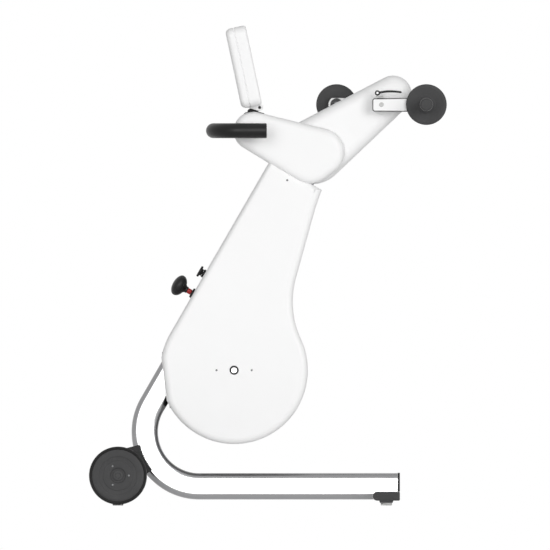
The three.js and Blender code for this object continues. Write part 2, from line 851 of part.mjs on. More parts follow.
function plateCorners() {
  const [px, pz] = pivot;
  const [hx, hz] = headBack;
  const tray = powerLow - plateTrayMargin;
  const front = backEdge + columnTopWidth;
  const motorCorner = motorRadius - plateTrayMargin;
  const round = plateDrumShares.map(([x, z]) => [
    legShaft.x + drumRadius * x, legShaft.y + drumRadius * z, plateWideRadius]);
  return [
    [-guideHalf + plateInset, guideLowBackZ + plateMouthRise, plateNarrowRadius],
    [guideHalf - plateInset, guideLowFrontZ + headLugHalf + plateMouthRise, plateNarrowRadius],
    [powerBack - plateTrayMargin, tray, plateNarrowRadius], [powerFront, tray, plateMiddleRadius], ...round,
    [motorAcross + motorCorner, motorAlong + motorCorner, plateMiddleRadius],
    [front - headLugHalf, columnTop - plateTopDrop, plateMiddleRadius],
    [px + lugRadius, pz - lugRadius * lugFootShare, plateMiddleRadius],
    [px + lugRadius, pz + lugRadius, lugRadius - edgeChamfer],
    [px - lugRadius, pz + lugRadius, plateMiddleRadius],
    [px - lugRadius - edgeChamfer, hz + headLugHalf, plateNarrowRadius],
    [hx - headLugBack, hz + headLugHalf, plateNarrowRadius],
    [hx - headLugBack, hz - headLugHalf, plateNarrowRadius],
    [-guideHalf - plateNarrowRadius, hz - headLugHalf, plateNarrowRadius / 2],
    [-guideHalf, columnTop + edgeChamfer, plateNarrowRadius / 2],
  ];
}
const plateOutline = (grow) => rounded(plateCorners(), grow, coarseStepDeg);

function plates(grow) {
  const outline = plateOutline(grow);
  return sides.map(([, side]) => {
    const near = side * (plateInnerY - grow);
    const far = side * (plateInnerY + plateThickness + grow);
    return slab(outline, Math.min(near, far), Math.max(near, far));
  });
}

// Screw bosses at both sides, from the plates out to the inside of a shell's wall
function screwBosses(places, wallInner) {
  const start = plateInnerY + plateThickness + seatGap;
  const bosses = places.map((place) => rod(
    screwBossRadius, start, wallInner + edgeChamfer, ...place, smallSides));
  return [...bosses, ...bosses.map((boss) => mirrored(boss, -1))];
}

// A bore through the back of the column, square to the leg
function backBore(radius, along) {
  const start = backEdge - cutOverrun;
  return turnedAcross([[0, start], [radius, start], [radius, 0], [0, 0]], along);
}

function tiePlaces() {
  const motorTop = motorAlong + motorRadius;
  return [
    ...drumTieShares.map(([x, z]) => [legShaft.x + drumRadius * x, legShaft.y + drumRadius * z]),
    [topTieAcross, columnTop - topTieDrop],
    [frontTieAcross, (motorTop + columnTop - plateTopDrop) / 2],
    [motorAcross - motorTieBack, motorAlong - motorTieDrop],
  ];
}

function backTie() {
  const end = plateInnerY + edgeChamfer;
  const low = knobAlong - backTieBelowKnob;
  const high = plungerAlong + backTieAbovePlunger;
  return block(backTieAcross - backTieThickness, backTieAcross, -end, end, low, high);
}

function chassis() {
  const span = plateInnerY + plateThickness / 2;
  const ties = tiePlaces().map(([x, z]) => rod(tieRadius, -span, span, x, z, smallSides));
  const headTie = rod(headTieRadius, -span, span, ...headBack, smallSides);
  const holes = [
    rod(pivotShaftRadius + seatGap, -span - cutOverrun, span + cutOverrun, ...pivot),
    rod(legBearingRadius + seatGap, -span - cutOverrun, span + cutOverrun, legShaft.x, legShaft.y),
    backBore(knobBushBodyRadius + seatGap, knobAlong),
    backBore(sleeveBodyRadius + seatGap, plungerAlong),
  ];
  return cut(joined(...plates(0), ...ties, headTie, backTie()), ...holes);
}
add(legPlace, 'chassis', finishes.darkSteel, chassis());

// Guides
const tubeLegCutter = intoLeg(tubeSolid(seatGap, tubeFrontX, legLength + cutOverrun));
const guideHalfWidth = plateInnerY - seatGap;

const lowerGuideOutline = [
  point(guideHalf, guideLowFrontZ), point(guideHalf, guideLowTop),
  point(-guideHalf, guideLowTop), point(-guideHalf, guideLowBackZ)];
add(legPlace, 'lower_guide', finishes.black, cut(midSlab(lowerGuideOutline, guideHalfWidth), tubeLegCutter));
const upperGuideOutline = box2(-guideHalf, guideHalf, upperGuideZ, upperGuideZ + upperGuideHeight);
add(legPlace, 'upper_guide', finishes.black, cut(midSlab(upperGuideOutline, guideHalfWidth), tubeLegCutter));

// Leg drive
function legShaftBody() {
  const shoulder = plateInnerY - bearingStep - seatGap;
  const end = housingHalfWidth + legShaftProud;
  return turned([
    [0, -end], [legShaftEndRadius - edgeChamfer, -end], [legShaftEndRadius, -end + edgeChamfer],
    [legShaftEndRadius, -shoulder], [legShaftRadius, -shoulder], [legShaftRadius, shoulder],
    [legShaftEndRadius, shoulder], [legShaftEndRadius, end - edgeChamfer],
    [legShaftEndRadius - edgeChamfer, end], [0, end],
  ]).translate([legShaft.x, 0, legShaft.y]);
}
add(legPlace, 'leg_shaft', finishes.steel, legShaftBody());

function legBearing() {
  const bore = legShaftEndRadius + seatGap;
  const flangeIn = plateInnerY + plateThickness + seatGap;
  const flangeOut = flangeIn + legBearingFlange;
  return turned([
    [bore, plateInnerY - bearingStep], [legBearingRadius, plateInnerY - bearingStep],
    [legBearingRadius, flangeIn], [legBearingFlangeRadius, flangeIn],
    [legBearingFlangeRadius, flangeOut], [legBearingNoseRadius, flangeOut],
    [legBearingNoseRadius, housingHalfWidth + seatGap], [bore, housingHalfWidth + seatGap],
  ]).translate([legShaft.x, 0, legShaft.y]);
}

function pulley(radius, bore, hubRadius, place) {
  const y0 = pulleyCentreY - pulleyWidth / 2;
  const y1 = pulleyCentreY + pulleyWidth / 2;
  const web0 = pulleyCentreY - pulleyWebThickness / 2;
  const web1 = pulleyCentreY + pulleyWebThickness / 2;
  const rimInner = radius - pulleyRimThickness;
  return turned([
    [bore, y0], [hubRadius, y0], [hubRadius, web0], [rimInner, web0], [rimInner, y0], [radius, y0],
    [radius, y1], [rimInner, y1], [rimInner, web1], [hubRadius, web1], [hubRadius, y1], [bore, y1],
  ], wheelSides).translate([place.x, 0, place.y]);
}

function legPulley() {
  const body = pulley(legPulleyRadius, legShaftRadius + seatGap, pulleyHubRadius, legShaft);
  const holes = Array.from({ length: pulleyHoleCount }, (_, i) => {
    const angle = 2 * Math.PI * i / pulleyHoleCount;
    return rod(pulleyHoleRadius, 0, plateInnerY, legShaft.x + pulleyHoleOrbit * Math.cos(angle),
      legShaft.y + pulleyHoleOrbit * Math.sin(angle), smallSides);
  });
  return cut(body, ...holes);
}
add(legPlace, 'leg_pulley', finishes.darkSteel, legPulley());

const beltRun = (grow) => hull([
  [legShaft.x, legShaft.y, legPulleyRadius],
  [motorAcross, motorAlong, motorPulleyRadius],
], grow, beltStepDeg);
const beltCentre = [pulleyCentreY - beltWidth / 2, pulleyCentreY + beltWidth / 2];
add(legPlace, 'leg_belt', finishes.rubber, cut(
  slab(beltRun(seatGap + fitGap + beltThickness), ...beltCentre),
  slab(beltRun(seatGap + fitGap), -cutOverrun, plateInnerY + cutOverrun)));

function legMotor() {
  const back = -plateInnerY + seatGap;
  const body = turned([
    [0, back], [motorRadius * motorBackShare, back], [motorRadius, back + motorEdge],
    [motorRadius, motorInnerY - motorEdge], [motorRadius - motorEdge, motorInnerY],
    [motorNoseRadius, motorInnerY], [motorNoseRadius, motorInnerY + motorEdge],
    [motorShaftRadius + seatGap, motorInnerY + motorEdge],
    [motorShaftRadius + seatGap, motorInnerY - motorBoreDepth], [0, motorInnerY - motorBoreDepth],
  ]);
  return body.translate([motorAcross, 0, motorAlong]);
}
add(legPlace, 'leg_motor', finishes.darkSteel, legMotor());

function motorPulley() {
  const y0 = pulleyCentreY - pulleyWidth / 2;
  const y1 = pulleyCentreY + pulleyWidth / 2;
  const start = motorInnerY - motorBoreDepth + seatGap * 2;
  return turned([
    [0, start], [motorShaftRadius, start], [motorShaftRadius, y0], [motorPulleyRadius, y0],
    [motorPulleyRadius, y1], [0, y1],
  ]).translate([motorAcross, 0, motorAlong]);
}
add(legPlace, 'leg_motor_pulley', finishes.steel, motorPulley());

// Power unit and mains inlet
const powerOutline = rounded([
  [powerBack, powerLow, powerCornerRadius], [powerFront, powerLow, powerCornerRadius],
  [powerFront, powerHigh, powerCornerRadius], [powerBack, powerHigh, powerCornerRadius]]);
add(legPlace, 'power_unit', finishes.darkSteel, midSlab(powerOutline, powerHalfWidth, powerEdge, 0, 1));

const atInlet = (body) => body.rotate([0, -inletDeg, 0]).translate([legShaft.x, 0, legShaft.y]);

function inletBody(grow, overrun) {
  const outerX = drumRadius - seatGap * 2;
  const innerX = outerX - inletDepth - grow;
  const halfWidth = inletHalfWidth + grow;
  const halfLength = inletLength / 2 + grow;
  return atInlet(block(innerX, outerX + overrun, -halfWidth, halfWidth, -halfLength, halfLength));
}

function mainsInlet() {
  const outerX = drumRadius;
  const socket = block(outerX - inletSocketDepth, outerX + cutOverrun, -inletHalfWidth + inletSocketWall,
    inletHalfWidth - inletSocketWall, -inletLength / 2 + inletSocketWall, inletLength / 2 - inletSocketWall);
  const pinStart = outerX - inletSocketDepth - inletSocketWall;
  const pins = [-1, 0, 1].map((i) => {
    const middle = i * inletPinPitch;
    return block(pinStart, outerX - inletSocketWall, -inletPinHalf, inletPinHalf,
      middle - inletPinHalf / 2, middle + inletPinHalf / 2);
  });
  return joined(cut(inletBody(0, 0), atInlet(socket)), ...pins.map(atInlet));
}
add(legPlace, 'mains_inlet', finishes.black, mainsInlet());

// Clamp: bush, shoe, spindle and knob on one axis across the leg
const tubeBack = -tubeHeight / 2;
const shoeInner = tubeBack - seatGap;
const shoeOuter = shoeInner - shoeThickness;
const spindleEnd = shoeOuter - seatGap;

add(legPlace, 'knob_bush', finishes.black, turnedAcross([
  [spindleRadius + seatGap, backEdge - seatGap - knobBushFlange],
  [knobBushRadius, backEdge - seatGap - knobBushFlange], [knobBushRadius, backEdge - seatGap],
  [knobBushBodyRadius, backEdge - seatGap], [knobBushBodyRadius, backTieAcross],
  [spindleRadius + seatGap, backTieAcross],
], knobAlong));

add(legPlace, 'clamp_shoe', finishes.black, block(
  shoeOuter, shoeInner, -shoeHalfWidth, shoeHalfWidth, knobAlong - shoeHalf, knobAlong + shoeHalf));

const bushFace = backEdge - seatGap - knobBushFlange;
add(legPlace, 'clamp_spindle', finishes.red, turnedAcross([
  [0, spindleEnd], [spindleRadius, spindleEnd], [spindleRadius, bushFace - seatGap],
  [collarRadius, bushFace - seatGap], [collarRadius, knobNeckEnd + seatGap],
  [spindleRadius, knobNeckEnd + seatGap], [spindleRadius, knobCentreAcross], [0, knobCentreAcross],
], knobAlong));

function clampKnob() {
  const half = knobThickness / 2;
  const bore = spindleRadius + seatGap;
  const boreEnd = knobCentreAcross - seatGap;
  const domeBase = knobCentreAcross - half + knobDomeHeight;
  const skirt = knobSkirtShares.map(([r, across]) => [knobRadius * r, knobCentreAcross + half * across]);
  const dome = Array.from({ length: knobDomeSteps }, (_, i) => {
    const angle = Math.PI / 2 * i / knobDomeSteps;
    return [knobRadius * Math.cos(angle), domeBase - knobDomeHeight * Math.sin(angle)];
  });
  return turnedAcross([
    [0, boreEnd], [bore, boreEnd], [bore, knobNeckEnd], [knobNeckRadius, knobNeckEnd],
    ...skirt, ...dome, [0, knobCentreAcross - half],
  ], knobAlong);
}
add(legPlace, 'clamp_knob', finishes.black, clampKnob());

// Pull plunger
const sleeveFace = backEdge - seatGap - sleeveFlange;
const sleeveEnd = backTieAcross + sleeveNose;
const pinBore = plungerPinRadius + seatGap;
add(legPlace, 'plunger_sleeve', finishes.steel, turnedAcross([
  [pinBore, sleeveEnd], [pinBore, sleeveFace], [sleeveRadius, sleeveFace],
  [sleeveRadius, backEdge - seatGap], [sleeveBodyRadius, backEdge - seatGap], [sleeveBodyRadius, sleeveEnd],
], plungerAlong));

const capInner = plungerCapAcross + plungerCapThickness;
add(legPlace, 'plunger_pin', finishes.black, turnedAcross([
  [0, plungerPinEnd], [plungerPinRadius - edgeChamfer, plungerPinEnd],
  [plungerPinRadius, plungerPinEnd - edgeChamfer], [plungerPinRadius, sleeveFace - seatGap],
  [plungerWaistRadius, sleeveFace - seatGap], [plungerWaistRadius, capInner],
  [plungerCapRadius, capInner], [plungerCapRadius, plungerCapAcross + plungerCapEdge],
  [plungerCapRadius - plungerCapEdge, plungerCapAcross], [0, plungerCapAcross],
], plungerAlong));

// Housing shells
function halfOf(body, side) {
  const reach = drumRadius * 4 + columnTop;
  const half = block(-reach, reach, seatGap / 2, reach, -reach, reach * 2);
  return body.intersect(mirrored(half, side));
}

function housingScrews() {
  const across = drumScrewOrbit * leanCos;
  const along = drumScrewOrbit * leanSin;
  return [
    [legShaft.x - across, legShaft.y - along], [legShaft.x + across, legShaft.y + along],
    [columnScrewAcross, columnTop - columnScrewDrop],
  ];
}

function housingShell() {
  const guideOpening = midSlab(rounded([
    [-guideHalf, 0, 0], [guideHalf, -cutOverrun * 2, 0], [guideHalf, guideLowTop - mouthFrontDrop, 0],
    [-guideHalf, guideLowTop - mouthBackDrop, 0]], fitGap), guideHalfWidth + fitGap);
  const scoop = rod(forkRadius, -forkHalfWidth, forkHalfWidth, ...pivot, wheelSides);
  const bores = [
    rod(legBearingNoseRadius + fitGap, -housingHalfWidth * 2, housingHalfWidth * 2, legShaft.x, legShaft.y),
    backBore(knobBushBodyRadius + fitGap, knobAlong),
    backBore(sleeveBodyRadius + fitGap, plungerAlong),
  ];
  const inlet = inletBody(seatGap, cutOverrun);
  const shell = cut(housingOuter(0), housingInner, guideOpening, scoop, ...plates(fitGap), inlet, ...bores);
  return joined(shell, ...screwBosses(housingScrews(), housingHalfWidth - housingWall));
}
const wholeHousing = housingShell();

// Head shells, cut by the column's top, the chassis, the fork's slot, the hinge and the bracket
const headCircles = [
  [headBackX, headBackZ, headBackRadius], [armPivotX - headLowBehind, armPivotZ - headLowDrop, headLowRadius],
  [armPivotX + headTopAhead, armPivotZ - headTopDrop, headTopRadius]];
const headInLeg = headCircles.map(([x, z, r]) => [...toLeg(x, z), r]);

function forkSlot(grow) {
  const up = forkTiltDeg + legLeanDeg;
  const [px, pz] = pivot;
  const upward = point(Math.cos(deg(up)), Math.sin(deg(up)));
  const start = arc(point(px, pz), forkRadius + grow, up + 90, up + 90 + forkWrapDeg, drumStepDeg);
  const outline = [
    point(start[0].x + upward.x * forkReach, start[0].y + upward.y * forkReach), ...start,
    point(px + forkReach, start[start.length - 1].y), point(px + forkReach, pz + forkReach * forkOpenShare),
  ];
  return midSlab(outline, forkHalfWidth + grow);
}

function hingeBody(grow) {
  const circles = [[hingeBackX, hingeBackZ, hingeBackRadius], [displayPinX, displayPinZ, hingeBarrelRadius]];
  const barrel = midSlab(hull(circles, grow), hingeHalfWidth + grow);
  const stem = midSlab(box2(
    headBackX - hingeStemHalfLength - grow, headBackX + hingeStemHalfLength + grow,
    headBackZ + headTieRadius + seatGap - grow, hingeBackZ), hingeStemHalfWidth + grow);
  return { barrel, stem };
}

function bracketBody(grow) {
  const start = handlebarBackX;
  const end = headBackX - headTieRadius - seatGap + grow;
  const radius = bracketRadius + grow;
  const geometry = new THREE.CylinderGeometry(radius, radius, end - start, roundSides);
  geometry.rotateZ(Math.PI / 2);
  geometry.translate((start + end) / 2, 0, handlebarZ);
  return solid(geometry);
}

function headShell() {
  const outline = hull(headInLeg);
  const outer = midSlab(outline, headHalfWidth, headEdgeRadius);
  const inner = midSlab(outline, headHalfWidth - headWall, headEdgeRadius, headWall, innerRimSteps);
  const cavity = cut(inner, forkSlot(headWall));
  const shell = cut(outer, cavity, forkSlot(0), housingOuter(fitGap), ...plates(fitGap),
    intoLeg(hingeBody(fitGap).stem), intoLeg(hingeBody(fitGap).barrel), intoLeg(bracketBody(fitGap)));
  return joined(shell, ...screwBosses([headBack], headHalfWidth - headWall));
}
const wholeHead = headShell();

for (const [name, side] of sides) {
  add(legPlace, `leg_bearing_${name}`, finishes.black, mirrored(legBearing(), side));
  add(legPlace, `housing_${name}`, finishes.white, halfOf(wholeHousing, side));
  add(legPlace, `head_shell_${name}`, finishes.white, halfOf(wholeHead, side));
}

const pivotEnd = plateInnerY + plateThickness + seatGap;
add(legPlace, 'pivot_shaft', finishes.steel, rod(pivotShaftRadius, -pivotEnd, pivotEnd, ...pivot));

// Display hinge with its fixed pin
function displayHinge() {
  const { barrel, stem } = hingeBody(0);
  const pinEnd = hingeHalfWidth + seatGap + hingeLugWidth;
  return joined(barrel, stem, rod(hingePinRadius, -pinEnd, pinEnd, displayPinX, displayPinZ, smallSides));
}
add(part, 'display_hinge', finishes.black, displayHinge());

// Handlebar: a U seen from above, its closed end away from the user
function handlebarPath() {
  const tip = handlebarHalfWidth;
  const points = [];
  const tangents = [];
  const put = (x, y, tx, ty) => {
    points.push(new THREE.Vector3(x, y, handlebarZ));
    tangents.push(new THREE.Vector3(tx, ty, 0));
  };
  put(handlebarEndX, -tip, -1, 0);
  for (const side of [-1, 1]) {
    const centreX = handlebarBackX + handlebarBend;
    const centreY = side * (tip - handlebarBend);
    for (let i = 0; i <= handlebarSteps; i += 1) {
      const share = side < 0 ? i / handlebarSteps : 1 - i / handlebarSteps;
      const cos = Math.cos(Math.PI / 2 * share);
      const sin = Math.sin(Math.PI / 2 * share);
      put(centreX - handlebarBend * sin, centreY + side * handlebarBend * cos, side * cos, sin);
    }
  }
  put(handlebarEndX, tip, 1, 0);
  return { points, tangents };
}

const ringSection = (radius) => arc(point(0, 0), radius, 0, 360, 360 / handlebarSides).slice(0, -1);
const handlebarSweep = (radius) => swept(ringSection(radius), handlebarPath(), Z_AXIS);
add(part, 'handlebar', finishes.darkSteel, handlebarSweep(steelRadius));
add(part, 'handlebar_sleeve', finishes.black, cut(
  handlebarSweep(sleeveOuterRadius), handlebarSweep(steelRadius + seatGap)));
add(part, 'handlebar_bracket', finishes.black, cut(
  bracketBody(0), handlebarSweep(sleeveOuterRadius + seatGap)));

part.add(legPlace);

// Arm, in a frame along its length from the pivot
armPlace.position.set(armPivotX, 0, armPivotZ);
armPlace.rotation.y = deg(-armRestDeg);
part.add(armPlace);
const armShaftPlace = [armShaftAlong, -armShaftDrop];
const armReachY = armHalfWidth * 2;
const armOutline = hull([[0, 0, armPivotEndRadius], [armLength, 0, armTipRadius]]);

function armShell() {
  const outer = midSlab(armOutline, armHalfWidth, armEdgeRadius);
  const inner = midSlab(armOutline, armHalfWidth - armWall, armEdgeRadius, armWall, innerRimSteps);
  return cut(outer, inner, rod(pivotShaftRadius + fitGap, -armReachY, armReachY),
    rod(armBearingRadius + fitGap, -armReachY, armReachY, ...armShaftPlace));
}
const wholeArm = armShell();

function armFrame() {
  const inside = armHalfWidth - armWall - seatGap;
  const hub = rod(pivotTubeRadius, -inside, inside);
  const wide = armBeamHalfWidth;
  const beam = block(0, armShaftAlong, -wide, wide, -armBeamHalfHeight, armBeamHalfHeight);
  const cradle = rod(armMotorRadius + armCradleWall, -wide, wide, ...armShaftPlace);
  const motorBore = rod(armMotorRadius + seatGap, -armReachY, armReachY, ...armShaftPlace);
  return cut(joined(hub, beam, cradle), motorBore, rod(clearing(pivotShaftRadius), -armReachY, armReachY));
}
add(armPlace, 'arm_frame', finishes.darkSteel, armFrame());

add(armPlace, 'arm_motor', finishes.darkSteel, turned([
  [armShaftRadius + seatGap, -armMotorHalfWidth], [armMotorRadius - armMotorEdge, -armMotorHalfWidth],
  [armMotorRadius, -armMotorHalfWidth + armMotorEdge], [armMotorRadius, armMotorHalfWidth - armMotorEdge],
  [armMotorRadius - armMotorEdge, armMotorHalfWidth], [armShaftRadius + seatGap, armMotorHalfWidth],
]).translate([armShaftAlong, 0, -armShaftDrop]));

function armBearing() {
  const face = armHalfWidth + seatGap;
  const bore = armShaftRadius + seatGap;
  return turned([
    [bore, armBearingInnerY], [armBearingRadius, armBearingInnerY], [armBearingRadius, face],
    [armBearingFlangeRadius, face], [armBearingFlangeRadius, face + armBearingFlange],
    [armBearingRadius, face + armBearingFlange + edgeChamfer], [armBearingRadius, armBearingOuterY],
    [bore, armBearingOuterY],
  ]).translate([armShaftAlong, 0, -armShaftDrop]);
}

// Cranks, in a frame at the arm shaft that is level at rest
crankPlace.position.set(armShaftAlong, 0, -armShaftDrop);
crankPlace.rotation.y = deg(armRestDeg);
armPlace.add(crankPlace);
const crankOuterY = crankInnerY + crankThickness;
const armShaftEnd = crankOuterY - armShaftInset;
add(crankPlace, 'arm_shaft', finishes.steel, rod(armShaftRadius, -armShaftEnd, armShaftEnd));

function crank() {
  const h = crankHalfHeight;
  const bar = slab(rounded([
    [-crankTail, -h, crankCornerRadius], [crankLength, -h, 0], [crankLength, h, 0],
    [-crankTail, h, crankCornerRadius]]), crankInnerY, crankOuterY, crankEdge, 0, 1);
  const hub = rod(crankHubRadius, crankInnerY, crankOuterY, crankLength, 0);
  const pad = block(leverPadBack, leverPadFront, crankInnerY + crankEdge, crankOuterY - crankEdge,
    h - crankEdge, h + leverPadHeight);
  const start = crankInnerY - cutOverrun;
  const shaftBore = rod(armShaftRadius + seatGap, start, armShaftEnd + seatGap);
  const gripBore = rod(gripPinRadius + seatGap, start, crankOuterY + cutOverrun, crankLength, 0);
  return cut(joined(bar, hub, pad), shaftBore, gripBore);
}

function camLever() {
  const midY = crankInnerY + crankThickness / 2;
  const cam = rod(leverRadius, midY - leverHalfWidth, midY + leverHalfWidth, leverX, leverZ, smallSides);
  const upper = [];
  const lower = [];
  for (let i = 0; i <= leverSteps; i += 1) {
    const share = i / leverSteps;
    const x = leverX + leverReach * share;
    const z = leverZ + leverRise * share + leverCrown * Math.sin(Math.PI * share);
    const half = leverThickness / 2 * (1 - leverTaperShare * share);
    upper.push(point(x, z + half));
    lower.push(point(x, z - half));
  }
  const handle = slab([...lower, ...upper.reverse()], midY - leverHalfWidth, midY + leverHalfWidth);
  return joined(cam, handle);
}

const gripInnerY = crankOuterY + gripStandOff;
const gripDiscOuterY = gripInnerY + gripDiscThickness;
const gripEndY = gripDiscOuterY + gripHandleLength;

function grip() {
  const bore = gripPinRadius + seatGap;
  const end = gripEndY;
  const start = gripDiscOuterY;
  return turned([
    [bore, gripInnerY], [gripDiscRadius - gripDiscEdge, gripInnerY],
    [gripDiscRadius, gripInnerY + gripDiscEdge], [gripDiscRadius, start - gripDiscEdge],
    [gripDiscRadius - gripDiscEdge, start], [gripWaistRadius, start],
    ...gripBulgeShares.map((share) => [gripHandleRadius, start + gripHandleLength * share]),
    [gripWaistRadius, end - gripTipEdge], [gripWaistRadius - gripTipEdge, end], [0, end],
    [0, start + gripBoreLength + seatGap], [bore, start + gripBoreLength + seatGap],
  ], wheelSides).translate([crankLength, 0, 0]);
}

function gripPin() {
  const headFace = crankInnerY - seatGap;
  return turned([
    [0, headFace - gripPinHeadThickness], [gripPinHeadRadius, headFace - gripPinHeadThickness],
    [gripPinHeadRadius, headFace], [gripPinRadius, headFace], [gripPinRadius, crankOuterY + seatGap],
    [gripShoulderRadius, crankOuterY + seatGap], [gripShoulderRadius, gripInnerY - seatGap],
    [gripPinRadius, gripInnerY - seatGap], [gripPinRadius, gripDiscOuterY + gripBoreLength],
    [0, gripDiscOuterY + gripBoreLength],
  ]).translate([crankLength, 0, 0]);
}

// The left crank points to the user at rest, the right one away
const crankTurned = (body, side) => (side < 0 ? body.mirror([0, 1, 0]) : body.rotate([0, 180, 0]));
for (const [name, side] of sides) {
  add(armPlace, `arm_shell_${name}`, finishes.white, halfOf(wholeArm, side));
  add(armPlace, `arm_bearing_${name}`, finishes.black, mirrored(armBearing(), side));
  add(crankPlace, `crank_${name}`, finishes.white, crankTurned(crank(), side));
  add(crankPlace, `crank_lever_${name}`, finishes.black, crankTurned(camLever(), side));
  add(crankPlace, `grip_pin_${name}`, finishes.black, crankTurned(gripPin(), side));
  add(crankPlace, `grip_${name}`, finishes.darkGrey, crankTurned(grip(), side));
}

// Display, in a frame at its hinge pin, leaning back
displayPlace.position.set(displayPinX, 0, displayPinZ);
displayPlace.rotation.y = deg(-displayLeanDeg);
part.add(displayPlace);

const facing = new THREE.Matrix4().makeBasis(acrossAxis, Z_AXIS, new THREE.Vector3(1, 0, 0));
function facedSlab(outline, low, high, rim = 0, inset = 0, rimSegments = outerRimSteps) {
  const geometry = new THREE.ExtrudeGeometry(new THREE.Shape(outline), {
    depth: high - low - 2 * rim,
    bevelEnabled: rim > 0,
    bevelThickness: rim,
    bevelSize: rim,
    bevelOffset: -rim - inset,
    bevelSegments: rimSegments,
  });
  geometry.applyMatrix4(facing);
  geometry.translate(low + rim, 0, 0);
  return solid(geometry);
}

const framed = (half, low, high, r, grow = 0) => rounded([
  [-half, low, r], [half, low, r], [half, high, r], [-half, high, r]], grow);
const displayOutline = framed(displayHalfWidth, displayLow, displayHigh, displayCornerRadius);
const displayInner = facedSlab(displayOutline, displayBackFace + displayWall, displayFrontFace - displayWall,
  displayEdgeRadius, displayWall, innerRimSteps);
const displayOuter = facedSlab(displayOutline, displayBackFace, displayFrontFace, displayEdgeRadius);
const displayCase = cut(displayOuter, displayInner);
const wide = displayHalfWidth * 2;
const tall = displayHigh * 2;
const frontSpace = block(displaySeam + seatGap / 2, tall, -wide, wide, -tall, tall);
const backSpace = block(-tall, displaySeam - seatGap / 2, -wide, wide, -tall, tall);

const keepOutOutline = framed(displayHalfWidth, displayLow, displayHigh, displayCornerRadius, seatGap);
const frontKeepOut = facedSlab(keepOutOutline, displaySeam - seatGap / 2, tall);
function displayBack() {
  const lugs = sides.map(([, side]) => {
    const inner = hingeHalfWidth + seatGap;
    const rootPlace = [displaySeam - hingeLugReach, displayLow + hingeLugRadius];
    const outline = hull([[0, 0, hingeBarrelRadius], [...rootPlace, hingeLugRadius]], 0, hingeLugStepDeg);
    const lug = slab(outline, inner, inner + hingeLugWidth);
    return mirrored(cut(lug, frontKeepOut), side);
  });
  const pinHole = rod(clearing(hingePinRadius, smallSides), -wide, wide, 0, 0, smallSides);
  return cut(joined(displayCase.intersect(backSpace), ...lugs), pinHole);
}
add(displayPlace, 'display_back', finishes.white, displayBack());

const screenMargin = displayFrontFace - displayWall - seatGap;
const windowOutline = framed(screenHalfWidth, screenLow, screenHigh, screenCornerRadius);
add(displayPlace, 'display_front', finishes.white,
  cut(displayCase.intersect(frontSpace), facedSlab(windowOutline, 0, tall)));
add(displayPlace, 'display_screen', finishes.glass, facedSlab(
  framed(screenHalfWidth + screenLap, screenLow - screenLap, screenHigh + screenLap, screenCornerRadius),
  screenMargin - screenThickness, screenMargin));

// The whole stands centred over its origin
part.updateMatrixWorld(true);
const bounds = new THREE.Box3().setFromObject(part, true);
const middle = bounds.getCenter(new THREE.Vector3());
part.position.set(-middle.x, -middle.y, -bounds.min.z);

export default part;
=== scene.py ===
"""Active passive trainer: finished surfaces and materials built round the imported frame.

Lengths are in metres. +X points to the seated user, -Y is the user's left and +Z is up.
A side plane is the X and Z plane: outlines there are rows of (x, z) that run counter-clockwise.
"""

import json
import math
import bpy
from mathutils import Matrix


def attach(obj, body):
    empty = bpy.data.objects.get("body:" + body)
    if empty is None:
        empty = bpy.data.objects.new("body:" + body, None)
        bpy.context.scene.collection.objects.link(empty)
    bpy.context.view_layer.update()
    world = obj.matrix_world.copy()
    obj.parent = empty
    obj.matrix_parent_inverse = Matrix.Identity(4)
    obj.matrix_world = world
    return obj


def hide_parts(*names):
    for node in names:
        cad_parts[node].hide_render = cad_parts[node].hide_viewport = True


bl_info = {
    "name": "Active Passive Trainer",
    "version": (1, 0, 0),
    "blender": (4, 5, 0),
    "location": "View3D > Sidebar > Trainer",
    "description": "Builds the finished surfaces of a motor-driven arm and leg trainer",
    "category": "Add Mesh",
}

import bpy
import numpy as np
from bpy.props import FloatProperty, FloatVectorProperty, PointerProperty
from bpy.types import Operator, Panel, PropertyGroup

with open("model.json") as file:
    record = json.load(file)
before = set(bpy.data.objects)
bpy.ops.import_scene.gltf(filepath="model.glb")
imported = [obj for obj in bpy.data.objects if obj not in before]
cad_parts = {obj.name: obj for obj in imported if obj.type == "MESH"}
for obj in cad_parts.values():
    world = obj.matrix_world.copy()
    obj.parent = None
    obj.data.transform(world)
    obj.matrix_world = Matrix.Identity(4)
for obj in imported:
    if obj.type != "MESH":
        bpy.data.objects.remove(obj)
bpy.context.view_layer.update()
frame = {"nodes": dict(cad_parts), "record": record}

# Shared steps in degrees, side counts and fits
ARC_STEP, CORNER_STEP, LATHE_STEP = 3.0, 6.0, 15.0
ROUND_SIDES, SMALL_SIDES, SOCKET_SIDES = 96, 40, 6
RIM_STEPS = 8
SHARP_DEGREES = 32.0
SEAM = 0.0003
FLAT_LAP = 0.0008
# Depth over which the painted shade on rounded edges fades in from the flat sides
PAINTED_SHADE_BLEND = 0.0001
THROUGH = 0.1
UP = (0, 0, 1)

# Side-plane places; TUBE_DEEP and TUBE_WIDE are halves of the tube's section
BEND_CENTRE = (-0.1718, 0.184)
BEND_RADIUS = 0.136
LEAN = 30.0
LEG_START = (BEND_CENTRE[0] - BEND_RADIUS * math.cos(math.radians(LEAN)),
             BEND_CENTRE[1] + BEND_RADIUS * math.sin(math.radians(LEAN)))
LEG_LENGTH = 0.64
TUBE_FRONT = 0.324
TUBE_MIDDLE = 0.048
TUBE_DEEP, TUBE_WIDE = 0.033, 0.015
ARM_PIVOT = (0.1123, 0.8848)
ARM_DEGREES = 35.5
CRANK_SHAFT = (0.28395, 1.00233)
DISPLAY_PIN = (-0.02075, 0.995)
DISPLAY_LEAN = 12.0
WHEEL_CENTRE = (-0.37475, 0.0748)
SIDES = (("left", -1), ("right", 1))


